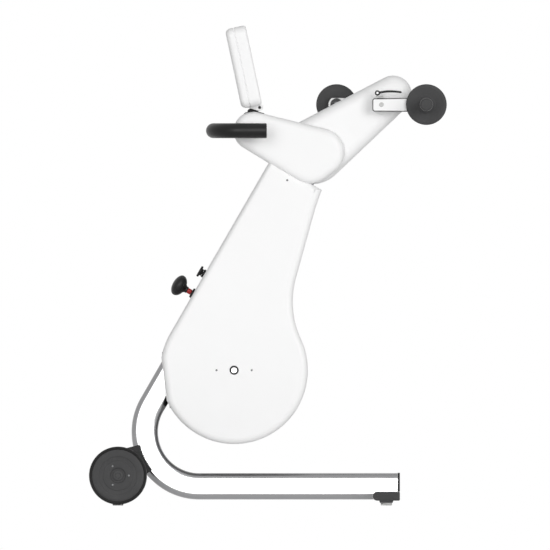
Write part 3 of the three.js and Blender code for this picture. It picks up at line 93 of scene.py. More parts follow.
# Side-plane outlines
def arc(centre, radius, start, end, step=ARC_STEP):
    """Points at equal angles on a circle, from start to end in degrees."""
    count = max(2, int(math.ceil(abs(end - start) / step)) + 1)
    angle = np.radians(np.linspace(start, end, count))
    return np.column_stack((centre[0] + radius * np.cos(angle), centre[1] + radius * np.sin(angle)))


def hull(circles, grow=0.0, step=ARC_STEP):
    """The tight outline round circles (x, z, radius): each pair is joined by its outer common tangent."""
    centres = np.array([c[:2] for c in circles], float)
    radii = np.array([c[2] for c in circles], float) + grow
    run = np.roll(centres, -1, axis=0) - centres
    drop = np.arccos((radii - np.roll(radii, -1)) / np.hypot(run[:, 0], run[:, 1]))
    normals = np.degrees(np.arctan2(run[:, 1], run[:, 0]) - drop)
    parts = []
    for centre, radius, arriving, leaving in zip(centres, radii, np.roll(normals, 1), normals):
        parts.append(arc(centre, radius, arriving, arriving + (leaving - arriving) % 360, step))
    return np.concatenate(parts)


def rounded(corners, closed=True, step=CORNER_STEP):
    """A polygon of (x, z, radius) whose corners are tangent arcs of their own radius."""
    places = np.array([c[:2] for c in corners], float)
    count = len(corners)
    parts = []
    for i, (x, z, radius) in enumerate(corners):
        if radius <= 0 or (not closed and i in (0, count - 1)):
            parts.append(np.array([[x, z]]))
            continue
        before = places[i] - places[i - 1]
        after = places[(i + 1) % count] - places[i]
        before /= np.hypot(*before)
        after /= np.hypot(*after)
        turn = math.atan2(before[0] * after[1] - before[1] * after[0], float(before @ after))
        side = math.copysign(1, turn)
        start = places[i] - before * radius * abs(math.tan(turn / 2))
        centre = start + np.array((-before[1], before[0])) * radius * side
        angle = math.degrees(math.atan2(start[1] - centre[1], start[0] - centre[0]))
        parts.append(arc(centre, radius, angle, angle + math.degrees(turn), step))
    return np.concatenate(parts)


def rectangle(x_low, z_low, x_high, z_high, low=0.0, high=None, step=CORNER_STEP):
    """A rectangle with corner radius low; its upper corners may have a radius of their own."""
    high = low if high is None else high
    return rounded([(x_low, z_low, low), (x_high, z_low, low), (x_high, z_high, high), (x_low, z_high, high)],
                   step=step)


def on_circle(centre, radius, degrees):
    """One point of a circle."""
    return arc(centre, radius, degrees, degrees)[0]


def tidy_loop(loop):
    """Drops points that repeat the one before them."""
    gap = np.hypot(*(loop - np.roll(loop, 1, axis=0)).T)
    return loop[gap > 1e-7]


def offset(loop, inset):
    """Moves each point inwards along the mitre of its two edges, so every edge moves by inset."""
    edge = np.roll(loop, -1, axis=0) - loop
    edge /= np.hypot(edge[:, 0], edge[:, 1])[:, None]
    after = np.column_stack((edge[:, 1], -edge[:, 0]))
    before = np.roll(after, 1, axis=0)
    mitre = (before + after) / (1 + (before * after).sum(axis=1))[:, None]
    return loop - inset * mitre


def placed(points, origin, degrees):
    """Turns side-plane points counter-clockwise and moves them to an origin."""
    c, s = math.cos(math.radians(degrees)), math.sin(math.radians(degrees))
    points = np.asarray(points, float)
    return np.column_stack((origin[0] + points[:, 0] * c - points[:, 1] * s,
                            origin[1] + points[:, 0] * s + points[:, 1] * c))


def from_leg(points):
    """Points given across and along the leaning leg, in the side plane."""
    return placed(points, LEG_START, -LEAN)


def leg_place(across, along):
    """One point of the leaning leg's frame, in the side plane."""
    return tuple(from_leg([(across, along)])[0])


def into_leg(place):
    """A side-plane point, given across and along the leaning leg."""
    return tuple(placed([(place[0] - LEG_START[0], place[1] - LEG_START[1])], (0, 0), LEAN)[0])


# Surfaces: each is (points, faces) and closed
def outward(points, faces):
    """Turns the faces round when the sum of signed tetrahedra under them is negative."""
    total = 0.0
    for face in faces:
        a = points[face[0]]
        b = points[face[1:-1]]
        c = points[face[2:]]
        total += float((np.cross(b, c) @ a).sum())
    if total < 0:
        faces = [face[::-1] for face in faces]
    return points, faces


def loft(rings, closed=False):
    """A surface through rings of equal count: quads between neighbours, flat caps where the rings end."""
    rings = np.asarray(rings, float)
    rows, columns = rings.shape[:2]
    i = np.arange(rows if closed else rows - 1)[:, None]
    j = np.arange(columns)[None, :]
    right = (j + 1) % columns
    below = (i + 1) % rows
    corners = (i * columns + j, i * columns + right, below * columns + right, below * columns + j)
    faces = list(np.stack(corners, axis=-1).reshape(-1, 4))
    if not closed:
        faces.append(np.arange(columns)[::-1])
        faces.append(np.arange((rows - 1) * columns, rows * columns))
    return outward(rings.reshape(-1, 3), faces)


def ring_at(loop, y, inset=0.0):
    """A side-plane outline stood at one y, drawn in by inset."""
    flat = offset(loop, inset)
    return np.column_stack((flat[:, 0], np.full(len(flat), y), flat[:, 1]))


def rim_rings(loop, edge, inside, rim, base=0.0, steps=RIM_STEPS):
    """Rings of a quarter round from the flat at y = edge to the wall, with t from 90 degrees to 0.

    The inset is base + rim (1 - cos t) and the depth is rim (1 - sin t). The first ring lies further in on
    the flat, so the flat keeps its own shading.
    """
    side = math.copysign(1, edge - inside)
    rings = [ring_at(loop, edge, base + rim + FLAT_LAP)]
    for t in np.linspace(np.pi / 2, 0, steps + 1):
        rings.append(ring_at(loop, edge - side * rim * (1 - math.sin(t)), base + rim * (1 - math.cos(t))))
    return rings


def prism(loop, y_low, y_high, rim=0.0, steps=4):
    """An outline carried along Y from y_low to y_high, with both rims rounded by rim."""
    loop = tidy_loop(loop)
    if rim <= 0:
        return loft([ring_at(loop, y_low), ring_at(loop, y_high)])
    low = rim_rings(loop, y_low, y_high, rim, steps=steps)
    high = rim_rings(loop, y_high, y_low, rim, steps=steps)
    return loft(low + high[::-1])


def slab(loop, half, rim=0.0):
    """A prism that reaches as far on both sides of the middle plane."""
    return prism(loop, -half, half, rim)


def half_shell(loop, side, half_width, rim, wall):
    """Half of a hollow casing, cut at y = 0: an outer skin, a small lip at the seam and an inner skin."""
    loop = tidy_loop(loop)
    lip = 2 * SEAM
    outer = rim_rings(loop, side * half_width, 0, rim)
    seam = [ring_at(loop, side * (SEAM + lip)), ring_at(loop, side * SEAM, lip),
            ring_at(loop, side * SEAM, wall)]
    inner = rim_rings(loop, side * (half_width - wall), 0, rim - wall, wall)
    return loft(outer + seam + inner[::-1])


def half_block(loop, side, half_width, rim, base=0.0):
    """Half of a casing filled solid, from the seam to its flat side; drawn in by base, a cavity's form."""
    loop = tidy_loop(loop)
    lip = 2 * SEAM
    rings = rim_rings(loop, side * half_width, 0, rim, base)
    if base:
        return loft(rings + [ring_at(loop, side * SEAM, base)])
    return loft(rings + [ring_at(loop, side * (SEAM + lip)), ring_at(loop, side * SEAM, lip)])


def lathe(profile, centre, axis=(0, 1, 0), sides=ROUND_SIDES, closed=False):
    """A profile of (radius, along) turned about an axis.

    A point is the centre, plus along times the axis, plus radius times the spoke at its angle. Points on the
    axis are left out, because flat caps close the ends.
    """
    profile = np.asarray([p for p in profile if p[0] > 1e-9], float)
    axis = np.asarray(axis, float) / np.linalg.norm(axis)
    first = np.cross(axis, (0, 1, 0) if abs(axis[1]) < 0.9 else (0, 0, 1))
    first /= np.linalg.norm(first)
    second = np.cross(axis, first)
    angle = np.linspace(0, 2 * np.pi, sides, endpoint=False)
    spoke = np.cos(angle)[:, None] * first + np.sin(angle)[:, None] * second
    rings = (np.asarray(centre, float) + profile[:, 1, None, None] * axis
             + profile[:, 0, None, None] * spoke[None, :, :])
    return loft(rings, closed)


def turned(profile, place, closed=False, sides=SMALL_SIDES, step=LATHE_STEP):
    """A profile of (radius, y, corner radius), rounded and turned about the Y axis at a side-plane place."""
    return lathe(rounded(profile, closed, step), (place[0], 0, place[1]), sides=sides, closed=closed)


def both_ends(low):
    """A profile from its lower half: the same points mirrored to the other end."""
    return [*low, *[(radius, -y, corner) for radius, y, corner in low[::-1]]]


def bore(place, radius, half, sides=ROUND_SIDES):
    """A plain cylinder along Y that reaches as far on both sides of the middle plane."""
    return lathe([(radius, -half), (radius, half)], (place[0], 0, place[1]), sides=sides)


def sweep(section, path, tangents):
    """A closed section carried along a side-plane path: its first axis in the plane, its second along Y."""
    sideways = np.array((0.0, 1.0, 0.0))
    across = np.cross(sideways, tangents)
    across /= np.linalg.norm(across, axis=1)[:, None]
    return loft(path[:, None, :] + section[None, :, 0, None] * across[:, None, :]
                + section[None, :, 1, None] * sideways)


def based(shell, origin, x_axis, y_axis, z_axis):
    """Moves a shell from its own axes to an origin and three directions."""
    points, faces = shell
    basis = np.array((x_axis, y_axis, z_axis), float)
    return outward(np.asarray(origin, float) + points @ basis, faces)


def mirrored(shell):
    """The same shell on the other side of the Y plane, with its faces turned back outwards."""
    points, faces = shell
    return outward(points * np.array((1, -1, 1)), faces)


def sided(shell, side):
    """A shell made for the right, at +Y, mirrored where the side is the left."""
    return shell if side > 0 else mirrored(shell)


# Pieces
def mesh_of(name, shells):
    """One mesh from several shells, smooth except where faces meet at a sharp angle."""
    points, faces, start = [], [], 0
    for shell_points, shell_faces in shells:
        points.append(shell_points)
        faces.extend((face + start).tolist() for face in shell_faces)
        start += len(shell_points)
    mesh = bpy.data.meshes.new(name)
    mesh.from_pydata(np.concatenate(points).tolist(), [], faces)
    shade(mesh)
    return mesh


def shade(mesh):
    """Smooth shading that stops at sharp edges."""
    mesh.polygons.foreach_set("use_smooth", np.ones(len(mesh.polygons), bool))
    mesh.set_sharp_from_angle(angle=math.radians(SHARP_DEGREES))
    mesh.update()


def linked(name, shells):
    """A new object of closed shells, in the scene."""
    obj = bpy.data.objects.new(name, mesh_of(name, shells))
    bpy.context.scene.collection.objects.link(obj)
    return obj


def dropped(obj):
    """Removes a scratch object with its mesh."""
    mesh = obj.data
    bpy.data.objects.remove(obj)
    bpy.data.meshes.remove(mesh)


def piece(name, shells, body, slot, stands_for=()):
    """A finished piece: it rides on a body, takes a slot's material and stands for CAD nodes."""
    obj = linked(name, shells)
    obj.data.materials.append(material(slot))
    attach(obj, body)
    if stands_for:
        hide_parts(*stands_for)
    return obj


def carve(obj, shells):
    """Cuts closed shells out of an object with an exact boolean and keeps the cut mesh."""
    for shell in shells:
        cutter = linked("cutter", [shell])
        modifier = obj.modifiers.new("cut", "BOOLEAN")
        modifier.operation = "DIFFERENCE"
        modifier.solver = "EXACT"
        modifier.object = cutter
        bpy.context.view_layer.update()
        evaluated = obj.evaluated_get(bpy.context.evaluated_depsgraph_get())
        mesh = bpy.data.meshes.new_from_object(evaluated)
        obj.modifiers.clear()
        before, obj.data = obj.data, mesh
        bpy.data.meshes.remove(before)
        dropped(cutter)
    shade(obj.data)


def shell_of(obj):
    """The shell of a scratch object, which is removed."""
    points = np.empty(len(obj.data.vertices) * 3)
    obj.data.vertices.foreach_get("co", points)
    faces = [np.array(face.vertices) for face in obj.data.polygons]
    dropped(obj)
    return points.reshape(-1, 3), faces


def painted_shade_share(obj, middle, half):
    """Stores how deep each point lies under the flat sides at |y| = middle +- half.

    The share is 0 on the flats and 1 from the blend's depth on. It is the mask of the painted shade on the
    rounded edges.
    """
    co = np.empty(len(obj.data.vertices) * 3, np.float32)
    obj.data.vertices.foreach_get("co", co)
    depth = half - np.abs(np.abs(co.reshape(-1, 3)[:, 1]) - middle)
    shade_mask = np.clip(depth / PAINTED_SHADE_BLEND, 0, 1).astype(np.float32)
    layer = obj.data.attributes.new("painted_shade_share", "FLOAT", "POINT")
    layer.data.foreach_set("value", shade_mask)


# Nodes
def feed(tree, node, inputs):
    """Gives a node's inputs their values; a value that is a socket is linked."""
    for label, value in inputs.items():
        if isinstance(value, bpy.types.NodeSocket):
            tree.links.new(value, node.inputs[label])
        else:
            node.inputs[label].default_value = value


def new_node(tree, kind, inputs=None, **settings):
    """A shader node with its settings and its inputs."""
    node = tree.nodes.new(f"ShaderNode{kind}")
    for name, value in settings.items():
        setattr(node, name, value)
    feed(tree, node, inputs or {})
    return node


def noise(tree, scale, detail, roughness=0.5):
    """The value of a noise texture on Object coordinates."""
    place = new_node(tree, "TexCoord").outputs["Object"]
    inputs = {"Vector": place, "Scale": scale, "Detail": detail, "Roughness": roughness}
    return new_node(tree, "TexNoise", inputs).outputs["Fac"]


def shared_group(name, inputs, output, kind, fill):
    """A node group that several materials share: built once, with named inputs and one output."""
    if name in bpy.data.node_groups:
        return bpy.data.node_groups[name]
    group = bpy.data.node_groups.new(name, "ShaderNodeTree")
    for label, default in inputs.items():
        socket_type = "NodeSocketFloat" if isinstance(default, float) else "NodeSocketColor"
        group.interface.new_socket(label, in_out="INPUT", socket_type=socket_type).default_value = default
    group.interface.new_socket(output, in_out="OUTPUT", socket_type=kind)
    source = group.nodes.new("NodeGroupInput").outputs
    feed(group, group.nodes.new("NodeGroupOutput"), {output: fill(group, source)})
    return group


def tone_drift():
    """Group: a colour that drifts a little lighter and darker, as moulded batches and handling do."""
    def fill(tree, source):
        spread = new_node(tree, "Math", {0: noise(tree, source["Scale"], 4.0), 1: source["Amount"], 2: 1.0},
                          operation="MULTIPLY_ADD")
        return new_node(tree, "VectorMath", {0: source["Color"], "Scale": spread.outputs[0]},
                        operation="SCALE").outputs[0]

    inputs = {"Color": (1, 1, 1, 1), "Scale": 8.0, "Amount": 0.05}
    return shared_group("tone_drift", inputs, "Color", "NodeSocketColor", fill)


def fine_grain():
    """Group: a normal roughened by fine noise, for moulded, cast and foamed skins."""
    def fill(tree, source):
        inputs = {"Height": noise(tree, source["Scale"], 3.0, 0.6), "Strength": source["Strength"],
                  "Distance": source["Depth"]}
        return new_node(tree, "Bump", inputs).outputs["Normal"]

    inputs = {"Scale": 600.0, "Strength": 0.1, "Depth": 0.0004}
    return shared_group("fine_grain", inputs, "Normal", "NodeSocketVector", fill)


def handling():
    """Group: a roughness that varies between two values in soft patches, as hands and cloths leave it."""
    def fill(tree, source):
        inputs = {"Value": noise(tree, source["Scale"], 5.0), "From Min": 0.3, "From Max": 0.7,
                  "To Min": source["Low"], "To Max": source["High"]}
        return new_node(tree, "MapRange", inputs).outputs["Result"]

    inputs = {"Scale": 12.0, "Low": 0.3, "High": 0.4}
    return shared_group("handling", inputs, "Roughness", "NodeSocketFloat", fill)


def group_value(tree, group, **inputs):
    """What a shared group gives in a material, with the material's own inputs."""
    return new_node(tree, "Group", inputs, node_tree=group).outputs[0]


def new_material(name):
    """A node material, its tree and its shader."""
    made = bpy.data.materials.new(name)
    made.use_nodes = True
    return made, made.node_tree, made.node_tree.nodes["Principled BSDF"]


# Slot: colour, roughness low and high, metallic, specular level, grain scale, grain strength, drift
FINISHES = {
    "white_plastic": ("white", 0.34, 0.44, 0.0, 0.22, 900.0, 0.05, 0.02),
    "white_metal": ("white", 0.36, 0.46, 0.0, 0.25, 1400.0, 0.08, 0.02),
    "polished_steel": ("steel", 0.14, 0.24, 1.0, 0.5, 700.0, 0.03, 0.04),
    "bright_steel": ("steel", 0.22, 0.34, 1.0, 0.5, 900.0, 0.05, 0.06),
    "zinc_steel": ("zinc", 0.34, 0.52, 1.0, 0.5, 260.0, 0.12, 0.2),
    "pulley_alloy": ("alloy", 0.38, 0.52, 1.0, 0.5, 500.0, 0.15, 0.12),
    "power_casing": ("alloy", 0.4, 0.55, 1.0, 0.5, 300.0, 0.1, 0.1),
    "black_plastic": ("black", 0.38, 0.5, 0.0, 0.22, 1100.0, 0.22, 0.25),
    "black_coated_metal": ("black", 0.36, 0.5, 0.0, 0.22, 700.0, 0.18, 0.25),
    "dark_plastic": ("dark_grey", 0.48, 0.62, 0.0, 0.22, 1000.0, 0.25, 0.18),
    "dark_coated_metal": ("dark_grey", 0.4, 0.54, 0.0, 0.25, 800.0, 0.16, 0.18),
    "grey_pad": ("pad_grey", 0.62, 0.78, 0.0, 0.3, 900.0, 0.3, 0.12),
    "tyre_rubber": ("rubber", 0.6, 0.76, 0.0, 0.2, 700.0, 0.3, 0.3),
    "belt_rubber": ("rubber", 0.62, 0.8, 0.0, 0.2, 500.0, 0.3, 0.3),
    "grip_foam": ("foam", 0.36, 0.42, 0.0, 0.25, 1500.0, 0.04, 0.25),
    "red_metal": ("red", 0.32, 0.44, 0.0, 0.4, 800.0, 0.1, 0.2),
    "screen_glass": ("screen", 0.04, 0.09, 0.0, 0.5, 300.0, 0.01, 0.3),
}
# Slots whose rounded edges take a darker colour of their own: painted shade in place of the dark reflections
# on the rims
PAINTED_EDGE_SHADE = {"polished_steel": "steel_edge_painted_shade", "white_metal": "crank_edge_painted_shade"}


def material(slot):
    """The procedural material of a slot: a drifting colour, a patchy roughness and a fine grain.

    Where the slot has a colour for painted edge shade, the mask stored on the piece mixes it into the rounded
    edges; a piece that stores none has none.
    """
    finish = f"finish_{slot}"
    if finish in bpy.data.materials:
        return bpy.data.materials[finish]
    colour_name, low, high, metallic, specular, grain_scale, grain, drift = FINISHES[slot]
    colours = bpy.context.scene.trainer_colours
    made, tree, shader = new_material(finish)
    base = (*getattr(colours, colour_name), 1)
    tone = group_value(tree, tone_drift(), Color=base, Scale=9.0, Amount=-drift)
    # Painted shade: the rounded edges are darkened towards the slot's edge colour, in place of their dark
    # reflections
    if slot in PAINTED_EDGE_SHADE:
        shade_mask = new_node(tree, "Attribute", attribute_name="painted_shade_share").outputs["Fac"]
        inputs = {"Factor": shade_mask, "A": tone, "B": (*getattr(colours, PAINTED_EDGE_SHADE[slot]), 1)}
        tone = new_node(tree, "Mix", inputs, data_type="RGBA").outputs["Result"]
    feed(tree, shader, {
        "Base Color": tone,
        "Roughness": group_value(tree, handling(), Low=low, High=high),
        "Normal": group_value(tree, fine_grain(), Scale=grain_scale, Strength=grain),
        "Metallic": metallic,
        "Specular IOR Level": specular,
    })
    return made


# Sizes and colours that a user would change
def length(name, description, default):
    """A length property."""
    return FloatProperty(name=name, description=description, default=default, min=0.0005, soft_max=1.0,
                         unit="LENGTH", subtype="DISTANCE", precision=4)


def colour(name, description, default):
    """A base colour property."""
    return FloatVectorProperty(name=name, description=description, default=default, size=3, min=0, max=1,
                               subtype="COLOR")


class TrainerSizes(PropertyGroup):
    """Sizes of the finished surfaces."""

    casing_rim: length("Casing rim", "Radius of the rounded rim of the column's casing", 0.016)
    casing_half: length("Casing half width", "Half the width of the column's casing", 0.07)
    head_rim: length("Head rim", "Radius of the rounded rim of the head", 0.018)
    head_half: length("Head half width", "Half the width of the head", 0.078)
    arm_rim: length("Arm rim", "Radius of the rounded rim of the arm", 0.027)
    arm_half: length("Arm half width", "Half the width of the arm", 0.052)
    tube_corner: length("Tube corner", "Corner radius of the flat-oval tube", 0.0149)
    wheel_radius: length("Wheel radius", "Outer radius of a transport wheel", 0.0725)
    guard_radius: length("Guard radius", "Radius of the guard disc on a hand grip", 0.051)
    bar_radius: length("Handlebar radius", "Outer radius of the foam sleeve", 0.01875)
    knob_radius: length("Knob radius", "Radius of the clamp knob", 0.027)


class TrainerColours(PropertyGroup):
    """Base colours of the finishes."""

    white: colour("White", "White casings and cranks", (0.9, 0.9, 0.9))
    steel: colour("Steel", "Flat sides of the polished tube", (0.95, 0.95, 0.95))
    # Painted shade: a darker colour on the tube's rounded edges stands in for their dark reflections
    steel_edge_painted_shade: colour("Steel edge", "Rounded edges of the polished tube", (0.28, 0.28, 0.285))
    # Painted shade: the dark crank edges stand in for the dark reflections of their fillets; they are not
    # bare metal
    crank_edge_painted_shade: colour("Crank edge", "Bare rounded edges of the cranks", (0.06, 0.06, 0.061))
    zinc: colour("Zinc", "Plated screws and inner steel", (0.17, 0.172, 0.175))
    alloy: colour("Alloy", "Cast and folded alloy", (0.58, 0.58, 0.59))
    black: colour("Black", "Black plastic and coat", (0.012, 0.012, 0.0125))
    dark_grey: colour("Dark grey", "Wheels, guard discs and the front bar", (0.048, 0.048, 0.049))
    pad_grey: colour("Pad grey", "Feet pads", (0.62, 0.62, 0.61))
    rubber: colour("Rubber", "Tyres and belt", (0.012, 0.012, 0.012))
    foam: colour("Foam", "Handlebar sleeve", (0.005, 0.005, 0.005))
    red: colour("Red", "Clamp spindle", (0.42, 0.008, 0.008))
    screen: colour("Screen", "Cover glass of the display", (0.006, 0.008, 0.011))


# Base
BAR_BACK, BAR_FRONT = 0.262, 0.33
BAR_LOW, BAR_HEIGHT = 0.012, 0.0225
BAR_HALF, CAP_END = 0.276, 0.2835
FOOT_MIDDLE, PAD_HEIGHT = 0.296, 0.0062
PLUG_HALF, PLUG_TOP = 0.016, 0.082
BEND_STEPS = 61


def tube_path():
    """Straight along the floor, a bend of 120 degrees, straight up the leaning leg; with its tangents."""
    angle = np.radians(np.linspace(-90, -90 - 90 - LEAN, BEND_STEPS))
    flat = np.zeros(BEND_STEPS)
    bend = np.column_stack((BEND_CENTRE[0] + BEND_RADIUS * np.cos(angle), flat,
                            BEND_CENTRE[1] + BEND_RADIUS * np.sin(angle)))
    turn = np.column_stack((np.sin(angle), flat, -np.cos(angle)))
    last = leg_place(0, LEG_LENGTH)
    path = np.vstack(([(TUBE_FRONT, 0, TUBE_MIDDLE)], bend, [(last[0], 0, last[1])]))
    return path, np.vstack(([turn[0]], turn, [turn[-1]]))


def bar_outline(grow=0.0):
    """The front bar's section: a full nose at the back, small radii at the front.

    The nose is a hair short of half the height, so its two arcs don't share a point.
    """
    low, high = BAR_LOW - grow, BAR_LOW + BAR_HEIGHT + grow
    nose = (high - low) / 2 - 1e-5
    return rounded([(BAR_BACK - grow, low, nose), (BAR_FRONT + grow, low, 0.003),
                    (BAR_FRONT + grow, high, 0.003), (BAR_BACK - grow, high, nose)])


class TRAINER_OT_base(Operator):
    """Bent base tube, its front cap, the front cross bar with its end caps, feet and pads"""

    bl_idname = "trainer.base"
    bl_label = "Base"

    def execute(self, context):
        corner = context.scene.trainer_sizes.tube_corner
        section = rectangle(-TUBE_DEEP, -TUBE_WIDE, TUBE_DEEP, TUBE_WIDE, corner)
        tube = piece("base_tube_skin", [sweep(section, *tube_path())], "base", "polished_steel",
                     ["base_tube"])
        carve(tube, [slab(bar_outline(SEAM), 0.05)])
        # Mask of the painted shade on the tube's rounded edges
        painted_shade_share(tube, 0, TUBE_WIDE)
        plug = rectangle(-PLUG_HALF, BAR_LOW + BAR_HEIGHT + SEAM, PLUG_HALF, PLUG_TOP, 0.001, corner)
        cap = based(prism(plug, TUBE_FRONT + SEAM, BAR_FRONT, 0.0012), (0, 0, 0), (0, 1, 0), (1, 0, 0), UP)
        piece("tube_cap_skin", [cap], "base", "black_plastic", ["tube_end_cap"])
        piece("cross_bar_skin", [slab(bar_outline(), BAR_HALF)], "base", "dark_coated_metal",
              ["front_cross_bar"])
        foot = rounded([(FOOT_MIDDLE - 0.016, PAD_HEIGHT + SEAM, 0.002),
                        (FOOT_MIDDLE + 0.016, PAD_HEIGHT + SEAM, 0.002),
                        (FOOT_MIDDLE + 0.018, BAR_LOW + 0.001, 0), (FOOT_MIDDLE - 0.018, BAR_LOW + 0.001, 0)])
        bar_cap = [prism(bar_outline(), BAR_HALF + SEAM, CAP_END, 0.0022), prism(foot, 0.244, 0.283, 0.001)]
        pad = prism(rectangle(FOOT_MIDDLE - 0.014, 0, FOOT_MIDDLE + 0.014, PAD_HEIGHT, 0.002, 0.0005),
                    0.2478, 0.2792, 0.0012)
        for name, side in SIDES:
            piece(f"bar_cap_skin_{name}", [sided(s, side) for s in bar_cap], "base", "dark_plastic",
                  [f"cross_bar_cap_{name}"])
            piece(f"front_pad_skin_{name}", [sided(pad, side)], "base", "grey_pad", [f"front_pad_{name}"])
        return {"FINISHED"}


# Rear wheels and carrier
WHEEL_MIDDLE, WHEEL_HALF = 0.204, 0.016
WHEEL_INNER, WHEEL_OUTER = WHEEL_MIDDLE - WHEEL_HALF, WHEEL_MIDDLE + WHEEL_HALF
POST_Y, POST_RADIUS = 0.158, 0.011
BEAM_RADIUS, BEAM_HALF = 0.018, 0.187
SADDLE_START, SADDLE_END = 193.5, 217.5
TYRE_DEPTH, TYRE_LAP = 0.007, 0.0008
SCREW_ORBIT, SCREW_DEPTH = 0.027, 0.003


def screw(centre, direction, radius, height):
    """A pan head with a socket: a low dome round a well, and a six-sided plate on the well's floor."""
    well, plate, floor = radius * 0.52, radius * 0.46, height * 0.35
    flat, crown = radius * 0.55, 0.45
    dome = [(radius * math.sin(t) * crown + flat, height * math.cos(t)) for t in np.linspace(0, np.pi / 2, 7)]
    head = lathe([(well, floor), (well, height), *dome, (radius, -height * 0.5)], centre, direction,
                 SMALL_SIDES)
    hexagon = lathe([(plate, height * 0.36), (plate, height * 0.42)], centre, direction, SOCKET_SIDES)
    return [head, hexagon]


def wheel_shells(radius):
    """Rim profile with a dished outer face and two faint rings, and a tyre with a rounded crown."""
    inner, outer = WHEEL_INNER, WHEEL_OUTER
    seat, lap = radius - TYRE_DEPTH - SEAM, radius - TYRE_DEPTH - TYRE_LAP
    rim = [(0.0065, inner, 0), (0.02, inner, 0.001), (0.022, inner + 0.01, 0.002),
           (0.052, inner + 0.01, 0.003), (0.057, inner + 0.001, 0.002), (seat, inner + 0.001, 0.0005),
           (seat, outer - 0.003, 0.0003), (0.06, outer - 0.0022, 0.002), (0.048, outer - 0.0022, 0.001),
           (0.047, outer - 0.003, 0.0006), (0.038, outer - 0.0034, 0.001), (0.037, outer - 0.0026, 0.0006),
           (0.02, outer - 0.003, 0.002), (0.0175, outer - 0.0052, 0.001), (0.0065, outer - 0.0052, 0)]
    tyre = [(lap, inner, 0.0005), (radius - 0.002, inner, 0.003), (radius, WHEEL_MIDDLE - 0.006, 0.004),
            (radius, WHEEL_MIDDLE + 0.006, 0.004), (radius - 0.002, outer, 0.003),
            (lap, outer - 0.0024, 0.001)]
    return [turned(profile, WHEEL_CENTRE, True, ROUND_SIDES) for profile in (rim, tyre)]


class TRAINER_OT_rear(Operator):
    """Rear carrier with its saddle, posts and pads, the axle and the two transport wheels"""

    bl_idname = "trainer.rear"
    bl_label = "Rear wheels"

    def execute(self, context):
        x, z = WHEEL_CENTRE
        outer = BEND_RADIUS + TUBE_DEEP
        wrap = arc(BEND_CENTRE, outer - 0.0145, SADDLE_START, SADDLE_END, 2)
        foot = on_circle(BEND_CENTRE, outer, SADDLE_END)
        lobe = arc(WHEEL_CENTRE, BEAM_RADIUS + 0.002, 110, 270, 5)
        top = on_circle(BEND_CENTRE, outer + 0.016, SADDLE_START)
        beam = both_ends([(0.0063, -BEAM_HALF, 0), (BEAM_RADIUS, -BEAM_HALF, 0.001)])
        shells = [slab(np.vstack((wrap, foot, lobe[::-1], top)), 0.02, 0.0025),
                  turned(beam, WHEEL_CENTRE, True, ROUND_SIDES)]
        post = [(POST_RADIUS, PAD_HEIGHT + SEAM), (POST_RADIUS, z)]
        weld = [(POST_RADIUS - 0.001, 0.0545), (POST_RADIUS + 0.0001, 0.0545), (POST_RADIUS + 0.0022, 0.0575),
                (POST_RADIUS + 0.0001, 0.0605), (POST_RADIUS - 0.001, 0.0605)]
        for _, side in SIDES:
            for profile, closed in ((post, False), (weld, True)):
                shells.append(lathe(profile, (x, side * POST_Y, 0), UP, SMALL_SIDES, closed))
        piece("rear_carrier_skin", shells, "base", "black_coated_metal", ["rear_carrier"])
        face = WHEEL_OUTER - 0.005 + SEAM
        head = turned([(0.0, face, 0), (0.0125, face, 0.0005), (0.0125, face + 0.003, 0.0012),
                       (0.0075, face + 0.0032, 0.0005), (0.0065, face + 0.0022, 0.0005),
                       (0.0, face + 0.0022, 0)], WHEEL_CENTRE)
        axle = [bore(WHEEL_CENTRE, 0.006, 0.2185, SMALL_SIDES), *[sided(head, side) for _, side in SIDES]]
        piece("rear_axle_skin", axle, "base", "dark_coated_metal", ["rear_axle"])
        rim, tyre = wheel_shells(context.scene.trainer_sizes.wheel_radius)
        pad = rounded([(0.0, 0.0, 0), (0.014, 0.0, 0.002), (0.013, PAD_HEIGHT, 0.0008), (0.0, PAD_HEIGHT, 0)],
                      False, LATHE_STEP)
        for name, side in SIDES:
            piece(f"rear_pad_skin_{name}", [lathe(pad, (x, side * POST_Y, 0), UP, SMALL_SIDES)], "base",
                  "grey_pad", [f"rear_pad_{name}"])
            piece(f"wheel_rim_{name}", [sided(rim, side)], f"wheel_{name}", "dark_plastic", [f"rim_{name}"])
            piece(f"wheel_tyre_{name}", [sided(tyre, side)], f"wheel_{name}", "tyre_rubber", [f"tyre_{name}"])
            screws = []
            for degrees in (0, 120, 240):
                px, pz = on_circle(WHEEL_CENTRE, SCREW_ORBIT, degrees)
                screws += screw((px, side * (WHEEL_OUTER - SCREW_DEPTH), pz), (0, side, 0), 0.0026, 0.0012)
            piece(f"wheel_screws_{name}", screws, f"wheel_{name}", "zinc_steel")
        return {"FINISHED"}


# Column casing
DRUM_RADIUS = 0.1845
LEG_SHAFT = (0.1345, 0.1772)
CASING_BACK = LEG_SHAFT[0] - DRUM_RADIUS
COLUMN_TOP, TOP_WIDTH = 0.677, 0.1497
NECK_RADIUS, FRONT_DEGREES = 0.223, 14.5
FLARE_LENGTH, FLARE_INSET = 0.058, 0.011
MOUTH_TOP, MOUTH_LOW, MOUTH_HALF = 0.1141, 0.0282, 0.0532
KNOB_ALONG, PLUNGER_ALONG = 0.292, 0.3485
INLET_DEGREES, INLET_HALF_HEIGHT, INLET_HALF_WIDTH = -100.0, 0.0146, 0.0126
CASING_WALL, CASING_SCREW = 0.0035, 0.0027
FORK_HALF, FORK_RADIUS, FORK_DEGREES, FORK_REACH = 0.058, 0.085, 56.0, 0.26
BEARING_Y = 0.0497
OUT = np.array((-math.cos(math.radians(LEAN)), 0, math.sin(math.radians(LEAN))))


